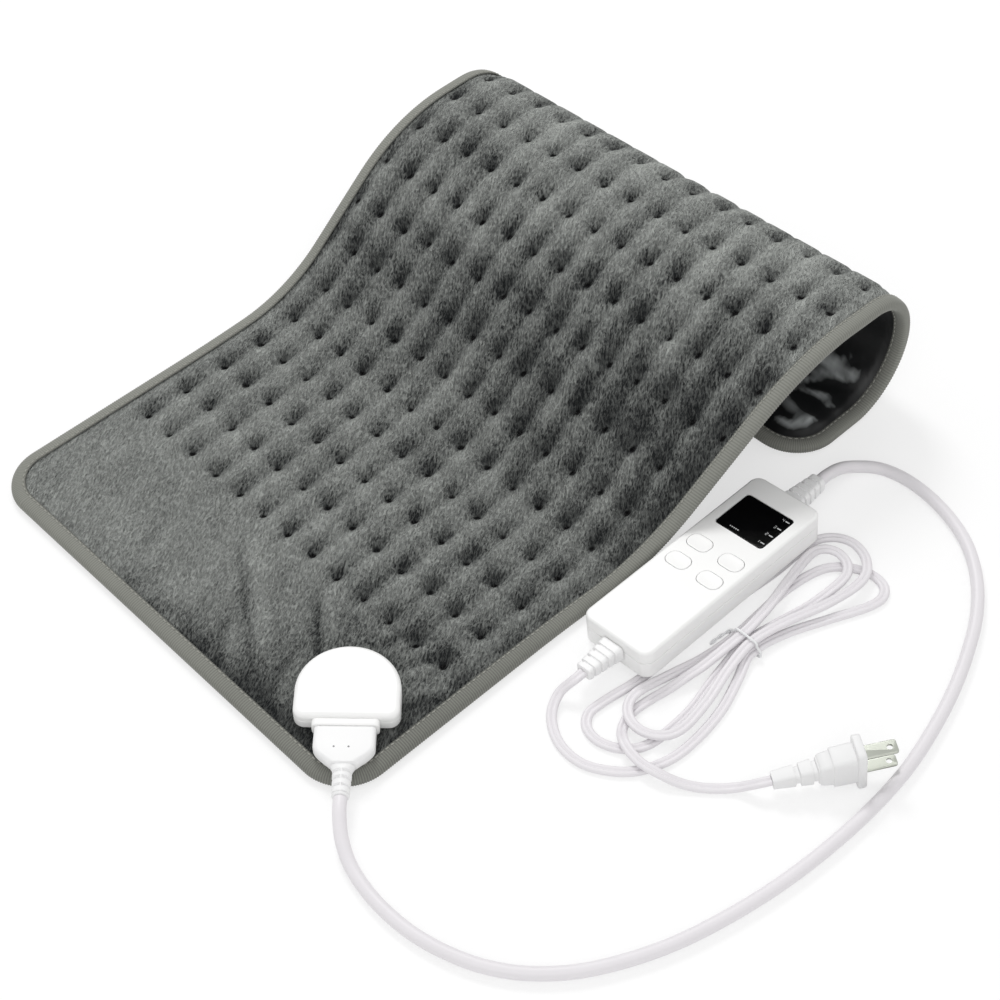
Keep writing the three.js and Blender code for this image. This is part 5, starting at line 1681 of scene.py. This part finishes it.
@dataclass
class Controller:
    """The hand controller: two shells, a window, four buttons and a grip at each end."""

    width: float = 46.0
    length: float = 138.0
    height: float = 19.0
    corner: float = 6.0
    edge: float = 1.8
    wall: float = 2.0
    split: float = 11.0
    window: Triple = (32.4, 27.6, 2.0)
    window_at: float = 40.2
    window_base: float = 17.8
    lens: float = 1.1
    pocket: float = 1.5
    ledge: float = 2.4
    cap: Triple = (14.5, 10.0, 4.4)
    cap_spacing: Pair = (22.0, 16.8)
    cap_middle: float = 0.5
    cap_top: float = 19.4
    flange: float = 1.1
    flange_top: float = 16.7
    screw_inset: float = 6.6
    screw_hole: float = 2.8
    grip_height: float = 9.5
    grip_start: Pair = (7.4, 4.8)
    neck: Pair = (4.6, 3.2)
    digit_places: Triple = (10.9, -9.6, 6.8)
    level_places: Triple = (-7.6, -10.7, 1.3)

    def build(self) -> list[Piece]:
        """Every piece of the controller that shows.

        Returns:
            The pieces.
        """
        return [self._bottom(), self._top(), self._lens(), self._marks(),
                *(self._button(*cap) for cap in self._caps()),
                self._grip("mains_grip", "mains_cord_grip", -1, 22.0, (4.8, 3.6), 4.4),
                self._grip("pad_grip", "pad_cord_grip", 1, 24.0, (4.6, 4.6), 4.7)]

    def _outer(self) -> Outline:
        """The case's outline."""
        return rounded_rect(self.width, self.length, self.corner, 8)

    def _notches(self) -> list[Piece]:
        """Blocks that open the end walls for the grips' necks.

        Returns:
            The blocks.
        """
        wide, high = (2 * (n + FIT_GAP) for n in self.neck)
        low = self.grip_height - high / 2
        return [prism("notch", rounded_rect(wide, self.wall + 2.0, 0.1, 1), low, low + high,
                      (0.0, side * (self.length - self.wall) / 2), CASE_PLACE) for side in (-1, 1)]

    def _bottom(self) -> Piece:
        """The bottom shell with its screw holes.

        Returns:
            The piece.
        """
        wall, seam = self.wall, self.split - FIT_GAP / 2
        profile = [(self.edge + 3, 0.0), *rounding(0.0, 0.0, self.edge, False)[::-1],
                   (0.0, seam - 0.25), (0.22, seam), (wall, seam), (wall, wall)]
        shell = Draft().loft(stacked(self._outer(), profile)).piece("case_bottom", CASE, CASE_PLACE)
        x, y = self.width / 2 - self.screw_inset, self.length / 2 - self.screw_inset
        holes = [prism("hole", round_outline(self.screw_hole, 24), -OVERRUN, wall + OVERRUN,
                       (sx * x, sy * y), CASE_PLACE) for sx in (-1, 1) for sy in (-1, 1)]
        cut(shell, [*holes, *self._notches()])
        return mount(even_shading(shell), Body.CONTROL, "case_plastic", "controller_bottom_shell")

    def _top(self) -> Piece:
        """The top shell with the window's pocket and the buttons' holes.

        Returns:
            The piece.
        """
        wall, seam, height = self.wall, self.split + FIT_GAP / 2, self.height
        profile = [(wall, height - wall), (wall, seam), (0.22, seam), (0.0, seam + 0.25),
                   *rounding(0.0, height, self.edge, True), (self.edge + 3, height)]
        shell = Draft().loft(stacked(self._outer(), profile)).piece("case_top", CASE, CASE_PLACE)
        wide, long, corner = self.window
        pocket = rounded_rect(wide + 2 * FIT_GAP, long + 2 * FIT_GAP, corner + FIT_GAP)
        hole = rounded_rect(wide - 2 * self.ledge, long - 2 * self.ledge, 0.5)
        above, middle = height + OVERRUN, (0.0, self.window_at)
        tools = [prism("pocket", pocket, height - self.pocket, above, middle, CASE_PLACE),
                 prism("window", hole, height - wall - OVERRUN, above, middle, CASE_PLACE)]
        cap = rounded_rect(self.cap[0] + 2 * FIT_GAP, self.cap[1] + 2 * FIT_GAP,
                           self.cap[2] + FIT_GAP, 8)
        tools += [prism("hole", cap, self.flange_top - 0.5, above, (x, y), CASE_PLACE)
                  for _, _, _, x, y in self._caps()]
        cut(shell, [*tools, *self._notches()])
        return mount(even_shading(shell), Body.CONTROL, "case_plastic", "controller_top_shell")

    def _lens(self) -> Piece:
        """The dark glossy window.

        Returns:
            The piece.
        """
        wide, long, corner = self.window
        base, top = self.window_base, self.window_base + self.lens
        profile = [(0.1, base), (0.0, base + 0.1), *rounding(0.0, top, 0.25, True, 3), (1.5, top)]
        rings = moved(stacked(rounded_rect(wide, long, corner), profile), 0.0, self.window_at)
        lens = Draft().loft(rings).piece("display_lens", LENS, CASE_PLACE)
        return mount(even_shading(lens), Body.CONTROL, "display_lens", "display_window")

    def _marks(self) -> Piece:
        """Plain numbers and bars behind the window's surface.

        Returns:
            The piece.
        """
        segments = {"1": "bc", "2": "abged", "3": "abgcd", "4": "fgbc"}
        height = self.window_base + self.lens
        draft = Draft()

        def bar(x: float, y: float, wide: float, long: float) -> None:
            """One bar on the glass.

            Args:
                x: its middle's x.
                y: its middle's y.
                wide: its width.
                long: its length.
            """
            outline = rounded_rect(wide, long, min(wide, long) * 0.3, 2)
            rings = stacked(outline, [(0.0, height - 0.02), (0.0, height + 0.02)])
            draft.loft(moved(rings, x, y + self.window_at))

        places = {"a": (0, 1.5, 1), "b": (0.85, 0.75, 0), "c": (0.85, -0.75, 0), "d": (0, -1.5, 1),
                  "e": (-0.85, -0.75, 0), "f": (-0.85, 0.75, 0), "g": (0, 0, 1)}
        x, start, pitch = self.digit_places
        for i, digit in enumerate("1234"):
            y = start + pitch * i
            for segment in segments[digit]:
                dx, dy, flat = places[segment]
                bar(x + dx * 0.6, y + dy * 0.6, 0.8 if flat else 0.26, 0.26 if flat else 0.72)
            bar(x + 2.8, y, 2.6, 0.8)
        start, y, pitch = self.level_places
        for i in range(5):
            bar(start + pitch * i, y, 0.8, 0.9)
        return mount(draft.piece("display_marks", MARK, CASE_PLACE), Body.CONTROL, "display_lens")

    def _caps(self) -> list[tuple[str, Body, str, float, float]]:
        """Each button's name, body, node and place.

        Returns:
            One row for each button.
        """
        x, y = self.cap_spacing[0] / 2, self.cap_spacing[1] / 2
        middle = self.cap_middle
        return [("power_cap", Body.POWER, "button_power", -x, middle - y),
                ("timer_cap", Body.TIMER, "button_timer", x, middle - y),
                ("heat_down_cap", Body.DOWN, "button_heat_down", -x, middle + y),
                ("heat_up_cap", Body.UP, "button_heat_up", x, middle + y)]

    def _button(self, name: str, body: Body, node: str, x: float, y: float) -> Piece:
        """A button with its flange inside the case.

        Args:
            name: the piece's name.
            body: the body that it rides on.
            node: the solid that it stands for.
            x: its middle's x.
            y: its middle's y.

        Returns:
            The piece.
        """
        base = self.flange_top - 1.0
        profile = [(-self.flange, base), (-self.flange, self.flange_top), (0.0, self.flange_top),
                   *rounding(0.0, self.cap_top, 0.45, True, 4), (2.2, self.cap_top - 0.05),
                   (3.6, self.cap_top - 0.16)]
        rings = moved(stacked(rounded_rect(*self.cap, 8), profile), x, y)
        cap = even_shading(Draft().loft(rings).piece(name, KEY, CASE_PLACE))
        return mount(cap, body, "button_plastic", node)

    def _grip(self, name: str, node: str, side: int, length: float, tip: Pair,
              pitch: float) -> Piece:
        """A ribbed strain relief at one end of the case.

        Args:
            name: the piece's name.
            node: the solid that it stands for.
            side: 1 at the pad cord's end, -1 at the other.
            length: its length.
            tip: half its sizes at the tip.
            pitch: the distance between its ribs.

        Returns:
            The piece.
        """
        rings = []

        def ring(run: float, wide: float, high: float, corner: float) -> None:
            """One ring of the grip.

            Args:
                run: its distance from the case.
                wide: half its width.
                high: half its height.
                corner: its corners' radius.
            """
            flat = rounded_rect(2 * wide, 2 * high, corner, 6)(0.0)
            y = side * (self.length / 2 + run)
            height = flat[:, 1] + self.grip_height
            rings.append(np.column_stack([flat[:, 0], np.full(len(flat), y), height]))

        flange = -self.wall - FIT_GAP
        for run, grow in ((flange - 2.5, 2.0), (flange, 2.0), (flange, 0.0), (FIT_GAP, 0.0)):
            ring(run, self.neck[0] + grow, self.neck[1] + grow / 2, 0.4)
        steps = np.arange(0.8, length - 0.6, 0.3)
        for run in (0.0, 0.15, 0.5, *steps, length - 0.5, length - 0.12, length):
            share = run / length
            wide = self.grip_start[0] + (tip[0] - self.grip_start[0]) * share ** 0.8
            high = self.grip_start[1] + (tip[1] - self.grip_start[1]) * share
            phase = (run - 3.2) / pitch
            groove = 1.0 if 0 < phase < 4.0 and abs(phase % 1 - 0.5) < 0.15 else 0.0
            soft = {0.0: 0.45, length: 0.45, 0.15: 0.12, length - 0.12: 0.12}.get(run, 0.0)
            ring(FIT_GAP + run, wide - groove - soft, high - groove - soft, min(wide, high) * 0.5)
        piece = Draft().loft(np.array(rings)).piece(name, GRIP, CASE_PLACE, 35.0)
        return mount(piece, Body.CONTROL, "cord_jacket", node)


@dataclass
class Plug:
    """The two-blade mains plug."""

    flange: Triple = (16.0, 29.0, 3.0)
    flange_depth: float = 4.5
    body: Pair = (13.5, 20.0)
    body_depth: float = 18.0
    grip: float = 23.5
    grip_half: Pair = (5.0, 6.2)
    tip_half: Pair = (3.8, 3.6)
    notches: tuple[Pair, ...] = ((0.04, 0.14), (0.42, 0.52))
    spacing: float = 12.7
    blade_widths: Pair = (6.35, 7.9)
    blade_thickness: float = 1.5
    blade_reach: float = 17.0
    blade_root: float = 9.0
    blade_hole: Pair = (1.6, 3.8)

    def build(self) -> list[Piece]:
        """The body and its two blades.

        Returns:
            The pieces.
        """
        blades = [self._blade(f"{kind}_blade", f"plug_blade_{kind}", width, side)
                  for kind, width, side in zip(("narrow", "wide"), self.blade_widths, (-1, 1))]
        return [self._body(), *blades]

    def _body(self) -> Piece:
        """The moulded body: flange, block and notched relief.

        Returns:
            The piece.
        """
        depth = self.flange_depth
        flange = [(0.0, 1.0), (-0.15, 0.5), (-0.6, 0.1), (-1.0, 0.0), (-depth + 0.9, 0.0),
                  (-depth + 0.3, 0.25), (-depth, 0.9)]
        draft = Draft().loft(along_x(rounded_rect(*self.flange), flange))
        rings = []
        tail = depth + self.body_depth

        def ring(x: float, wide: float, high: float, corner: float) -> None:
            """One ring of the body or the relief."""
            rings.append(standing(-x, rounded_rect(2 * wide, 2 * high, corner, 6)(0.0)))

        wide, high = self.body[0] / 2, self.body[1] / 2
        for run, share in ((-0.5, 0.0), (4.0, 0.0), (9.0, 0.04), (11.4, 0.1), (11.7, 0.14),
                           (12.0, 0.4), (12.4, 0.46), (15.0, 0.56), (self.body_depth - 0.6, 0.7),
                           (self.body_depth, 0.8)):
            ring(depth + run, wide + (self.grip_half[0] - wide) * share,
                 high + (self.grip_half[1] - high) * share, 2.6 - share)
        steps = np.arange(0.4, self.grip - 0.5, 0.4)
        for run in (*steps, self.grip - 0.4, self.grip - 0.1, self.grip):
            share = run / self.grip
            w, h = (a + (b - a) * share for a, b in zip(self.grip_half, self.tip_half))
            groove = 2.0 if any(low < share < high for low, high in self.notches) else 0.0
            soft = 0.4 if run == self.grip else 0.0
            ring(tail + run, w - groove * 0.25 - soft, h - groove - soft, min(w, h) * 0.4)
        draft.loft(np.array(rings))
        body = draft.piece("plug_moulding", PLUG_RUBBER, PLUG_PLACE, 35.0)
        slots = []
        for width, side in zip(self.blade_widths, (-1, 1)):
            outline = rounded_rect(width + 2 * FIT_GAP, self.blade_thickness + 2 * FIT_GAP, 0.4)
            slot = along_x(outline, [(-self.blade_root - FIT_GAP, 0.0), (OVERRUN, 0.0)],
                           (0.0, side * self.spacing / 2))
            slots.append(Draft().loft(slot).piece("slot", CASE, PLUG_PLACE))
        cut(body, slots, 35.0)
        return mount(body, Body.CONTROL, "cord_jacket", "plug_body")

    def _blade(self, name: str, node: str, width: float, side: int) -> Piece:
        """A flat blade with a hole near its tip.

        Args:
            name: the piece's name.
            node: the solid that it stands for.
            width: its width.
            side: 1 or -1, for where it is.

        Returns:
            The piece.
        """
        length = self.blade_reach + self.blade_root
        middle = (self.blade_reach - self.blade_root) / 2
        low = side * self.spacing / 2 - self.blade_thickness / 2
        high = low + self.blade_thickness
        profile = [(0.3, low), (0.0, low + 0.25), (0.0, high - 0.25), (0.3, high)]
        rings = moved(stacked(rounded_rect(length, width, 1.4), profile), middle, 0.0)
        blade = Draft().loft(rings).piece(name, NICKEL, PLUG_PLACE)
        radius, from_tip = self.blade_hole
        hole = prism("hole", round_outline(radius, 24), low - OVERRUN, high + OVERRUN,
                     (self.blade_reach - from_tip, 0.0), PLUG_PLACE)
        cut(blade, [hole])
        return mount(blade, Body.CONTROL, "contact_metal", node)


# Cords


def case_point(x: float, y: float, z: float = 9.5) -> Triple:
    """A point of the controller, in the pad's frame."""
    return tuple(CASE_PLACE.apply([x, y, z]))


@dataclass
class Cords:
    """The pad cord, and the mains cord with its tied hank."""

    pad_diameter: float = 7.0
    width: float = 5.6
    thickness: float = 3.0
    waist: Triple = (219.0, 125.0, 1.6)
    slot_pitch: float = 3.35
    level_pitch: float = 3.8
    waist_lift: float = 1.75
    tie_radius: float = 0.7
    tail_radius: float = 0.5
    tail_turns: float = 1.3
    low: float = 1.6

    def waist_point(self, number: int, level: float, along: float) -> Triple:
        """A point of the bundle where the tie holds it."""
        x, y, z = self.waist
        return (x + (number - 2) * self.slot_pitch, y + along,
                z + level * self.level_pitch + self.waist_lift)

    def pad_route(self) -> list[Triple]:
        """The round cord's route from the connector to the controller.

        Returns:
            The route's points.
        """
        ends = [tuple(SOCKET_PLACE.apply([x, 0.0, CONTACT_HEIGHT])) for x in (44.4, 51.4)]
        flat = [(190, -113.2), (205, -114.3), (222, -113.2), (240, -108.8), (258, -101),
                (274, -89.5), (289, -73), (301, -53), (311, -30), (319, -2), (325, 30), (328, 62),
                (328.5, 94), (326, 125), (320.5, 152), (313, 178), (304, 201), (292, 225),
                (277, 245), (258, 261), (238, 270), (218, 274), (202, 273.5), (190, 269.5)]
        middle = [(163, -104.3, 8.2), (175, -109.8, 4.6), *((x, y, 3.6) for x, y in flat),
                  (181.5, 260.5, 5), (178.2, 250.5, 8.8)]
        return [*ends, *middle, case_point(0, 100.6), case_point(0, 93.6)]

    def loop_points(self, way: int, reach: float, half_width: float, bend: float, entry: int,
                    start: float, end: float, levels: Sequence[float]) -> list[Triple]:
        """One loop of the hank.

        Args:
            way: 1 for a loop away from the pad's socket end, -1 for one towards it.
            reach: how far its tip lies from the waist.
            half_width: half its width at the tip.
            bend: how far its tip leans across.
            entry: the side that it goes out on.
            start: where it leaves the waist.
            end: where it comes back.
            levels: its height in strands at seven keys round it.

        Returns:
            Points round the loop.
        """
        x, y, z = self.waist
        run = reach - half_width
        points = []

        def add(along: float, across: float, key: float) -> None:
            """One point, lifted where the tie holds the strands.

            Args:
                along: its distance from the waist.
                across: its distance across.
                key: how far round the loop it is, from 0 to 6.
            """
            level = float(np.interp(key, range(len(levels)), levels))
            side = start if key < 3.5 else end
            fade = max(0.0, 1 - min(key, 6 - key)) if abs(side) < 24 else 0.0
            lift = self.waist_lift * fade
            points.append((x + across + bend * (along / reach) ** 2, y + way * along,
                           z + level * self.level_pitch + lift))

        for i in range(4):
            across = start + (entry * half_width - start) * smoothstep(i / 3, 0, 1)
            add(run * i / 3, across, 2 * i / 3)
        for i in range(1, 7):
            angle = math.pi * i / 6
            add(run + half_width * math.sin(angle), entry * half_width * math.cos(angle),
                2 * (1 + i / 6))
        for i in range(1, 4):
            across = -entry * half_width + (end + entry * half_width) * smoothstep(i / 3, 0, 1)
            add(run * (1 - i / 3), across, 2 * (2 + i / 3))
        return points

    def mains_route(self) -> list[Triple]:
        """The flat cord's route: from the controller, through the hank, to the plug.

        Returns:
            The route's points.
        """
        low = self.low
        near = [(175, 32, 5.4), (180.5, 21, 2.6), (194, 12.5, low), (210, 11.5, low),
                (223, 18, low), (233, 28, low), (240, 45, low), (241, 62, low), (238, 85, low),
                (231, 106, 2.2)]
        far = [(214.5, 95, 5.9), (213.2, 88, 5), (211, 76, 3), (208, 62, low), (207.3, 51, low),
               (209.3, 44, low), (212.3, 39.2, 2.4), (217.3, 34.7, 5.3), (224, 32, 5.7),
               (232, 31, 5.6), (243, 32.8, 5.4), (254, 38, 2.8), (264, 45.5, low),
               (274, 55.5, 2.6)]
        slot = [(k - 2) * self.slot_pitch for k in range(5)]
        loops = [self.loop_points(1, 84, 17, 19, 1, slot[4], slot[0], [0] * 7),
                 self.loop_points(-1, 80, 15.5, -2, -1, slot[0], slot[3],
                                  [0, 0, 0.95, 1, 1, 1.1, 1]),
                 self.loop_points(1, 91, 19, -3, 1, slot[3], -24, [1, 1.3, 1.2, 1, 0, 0, 0]),
                 self.loop_points(-1, 98, 17, -14, -1, -24, slot[2], [0] * 7),
                 self.loop_points(1, 80, 11.5, -3.5, 1, slot[2], slot[1],
                                  [0, 0, 0.95, 1, 1, 1.05, 1])]
        hank = [point for loop in loops for point in loop[1:]][:-1]
        tail = [tuple(PLUG_PLACE.apply([x, 0.0, 0.0])) for x in (-51.9, -46.3)]
        into = [self.waist_point(4, 0, along) for along in (-5.6, 0.0, 4.3)]
        out = [self.waist_point(1, 1, along) for along in (4.3, 0.0, -5.6)]
        return [case_point(0, -91.6), case_point(0, -97.2), *near, *into, *hank, *out, *far, *tail]

    def pad_cord(self) -> Piece:
        """The round cord from the pad to the controller.

        Returns:
            The piece.
        """
        path = through(self.pad_route(), 2.4)
        rings = tube(path, circle(self.pad_diameter / 2, 24))
        cord = Draft().loft(rings).piece("pad_lead", JACKET, smooth_angle=60.0)
        LOG.info("pad cord %.0f mm", length_of(path))
        return mount(cord, Body.CONTROL, "cord_jacket", "pad_cord")

    def mains_cord(self, pieces: Sequence[Piece]) -> Piece:
        """The flat twin cord.

        Args:
            pieces: not used.

        Returns:
            The piece.
        """
        radius = self.thickness / 2
        middle = self.width / 2 - radius
        right = arc(middle, 0, radius, -124, 124, 12)
        section = np.concatenate([right, [(0.0, 0.93)], -right, [(0.0, -0.93)]])
        path = through(self.mains_route(), 2.0)
        cord = Draft().loft(tube(path, section)).piece("mains_lead", JACKET, smooth_angle=60.0)
        LOG.info("mains cord %.0f mm", length_of(path))
        return mount(cord, Body.CONTROL, "cord_jacket", "mains_cord_near", "mains_cord_hank",
                     "mains_cord_far")

    def tie(self) -> Piece:
        """The wire tie round the bundle's waist, with its twisted tail.

        Returns:
            The piece.
        """
        wide, narrow = 2 * self.slot_pitch + self.width / 2, self.slot_pitch + self.width / 2
        clear, low = self.tie_radius + 0.35, 0.1 + self.tie_radius
        bottom = low + clear
        top = bottom + self.level_pitch + self.thickness
        half = [(wide, low), (wide + clear, bottom), (wide + clear, bottom + self.thickness),
                (narrow + clear, bottom + self.level_pitch + self.thickness / 2),
                (narrow + clear, top), (narrow, top + clear)]
        outline = half + [(-x, z) for x, z in reversed(half)]
        x0, y0 = self.waist[:2]
        corners = np.array([(x0 + x, y0, z) for x, z in outline])
        smooth = []
        for before, here, after in zip(np.roll(corners, 1, 0), corners, np.roll(corners, -1, 0)):
            smooth += [here + (before - here) * 0.22, here, here + (after - here) * 0.22]
        ring = np.array(smooth)
        ring[1::3] += (ring[0::3] + ring[2::3] - 2 * ring[1::3]) * 0.2
        ups = np.tile([0.0, 1.0, 0.0], (len(ring), 1))
        draft = Draft().loft(tube(ring, circle(self.tie_radius, 12), ups, closed=True), closed=True)
        tail = through([(x0 - 10.9, y0 + 0.4, 3.6), (x0 - 12.1, y0 - 4, 2.9),
                        (x0 - 12.8, y0 - 8.5, 2.2), (x0 - 13.1, y0 - 12.5, 1.6)], 0.5)
        turns = np.linspace(0, self.tail_turns * math.tau, len(tail))
        along = np.gradient(tail, axis=0)
        along /= np.linalg.norm(along, axis=1, keepdims=True)
        across = np.cross(along, [0.0, 0.0, 1.0])
        across /= np.linalg.norm(across, axis=1, keepdims=True)
        up = np.cross(across, along)
        for side in (0.0, math.pi):
            swing = across * np.cos(turns + side)[:, None] + up * np.sin(turns + side)[:, None]
            draft.loft(tube(tail + swing * self.tail_radius, circle(self.tail_radius, 8)))
        piece = draft.piece("wire_tie", TIE_SKIN, smooth_angle=60.0)
        return mount(piece, Body.CONTROL, "cord_jacket", "twist_tie")


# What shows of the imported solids


CAD_FINISHES: dict[str, Finish] = {
    "socket_base_plate": CASE, "socket_screw_1": STEEL, "socket_screw_2": STEEL,
    "socket_header": BLOCK, "socket_board": BOARD, "socket_pin_left": NICKEL,
    "socket_pin_right": NICKEL, "connector_contact_left": NICKEL,
    "connector_contact_right": NICKEL, "circuit_board": BOARD, "display_module": BLOCK,
    "relay": BLOCK, "film_capacitor": CASE, "can_capacitor": BLOCK, "fuse": NICKEL,
    **{f"tact_switch_{i}": BLOCK for i in range(1, 5)},
    **{f"case_screw_{i}": STEEL for i in range(1, 5)}, "heating_carrier": FELT,
    "heating_wire": WIRE_SKIN,
}


def dress_packed_solids() -> None:
    """Gives the solids that stay their finishes."""
    for name, finish in CAD_FINISHES.items():
        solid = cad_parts[name]
        for held in solid.material_slots:
            held.material = finish.material()
        if not solid.material_slots:
            solid.data.materials.append(finish.material())
        LOG.info("%s: %s", name, finish.name)


# Camera, lights and floor


@dataclass
class Studio:
    """The camera at the photograph's angle, soft lights and a white floor."""

    eye: Triple = (586.3, -409.0, 853.7)
    forward: Triple = (-0.4688, 0.4549, -0.7572)
    view_degrees: float = 27.56
    sensor_width: float = 36.0
    world: float = 0.68
    middle: Triple = (0.08, 0.09, 0.02)
    lamps: tuple[tuple[str, Triple, float, float], ...] = (
        ("key", (-0.9, 0.6, 1.45), 0.5, 11.5), ("fill", (1.0, -0.9, 1.35), 1.2, 6.5))
    floor_half_width: float = 4.0

    def camera(self) -> None:
        """Places the camera."""
        data = bpy.data.cameras.new("camera")
        data.sensor_width = self.sensor_width
        data.lens = self.sensor_width / 2 / math.tan(math.radians(self.view_degrees / 2))
        data.clip_end = 20.0
        held = linked("camera", data)
        back = -Vector(self.forward).normalized()
        right = Vector((0, 0, 1)).cross(back).normalized()
        turn = Matrix((right, back.cross(right), back)).transposed()
        held.matrix_world = Matrix.Translation(Vector(self.eye) * MM) @ turn.to_4x4()
        bpy.context.scene.camera = held

    def light(self, name: str, place: Triple, size: float, power: float) -> None:
        """Adds a soft square light that looks at the middle, in metres and watts.

        Args:
            name: its name.
            place: where it is.
            size: its side.
            power: its power.
        """
        data = bpy.data.lights.new(name, "AREA")
        data.size = size
        data.energy = power
        lamp = linked(name, data)
        look = Vector(self.middle) - Vector(place)
        turn = look.to_track_quat("-Z", "Y").to_matrix()
        lamp.matrix_world = Matrix.Translation(place) @ turn.to_4x4()

    def build(self) -> None:
        """Places the lights, the world and the floor."""
        tree = WorldTree("studio")
        tree.set(Strength=self.world + (1 - self.world) * tree.seen())
        bpy.context.scene.world = tree.world
        for lamp in self.lamps:
            self.light(*lamp)
        mesh = bpy.data.meshes.new("floor")
        half = self.floor_half_width
        corners = [(-half, -half, 0), (half, -half, 0), (half, half, 0), (-half, half, 0)]
        mesh.from_pydata(corners, [], [(0, 1, 2, 3)])
        mesh.materials.append(PAPER.material())
        linked("floor", mesh)
        bpy.context.scene.view_settings.view_transform = "Standard"


def main() -> None:
    """Builds the scene: camera and cords first, then the rest."""
    logging.basicConfig(level=logging.INFO, format="%(message)s")
    studio = Studio()
    studio.camera()
    cords = Cords()
    plug = Plug().build()
    cords.pad_cord()
    cords.mains_cord([*plug, cords.tie()])
    pad = Pad()
    pad.cover()
    pad.underside()
    pad.tape()
    pad.stitches(Repeat("stitch_row"))
    Socket().build()
    Connector().build()
    Controller().build()
    dress_packed_solids()
    studio.build()


if __name__ == "__main__":
    main()
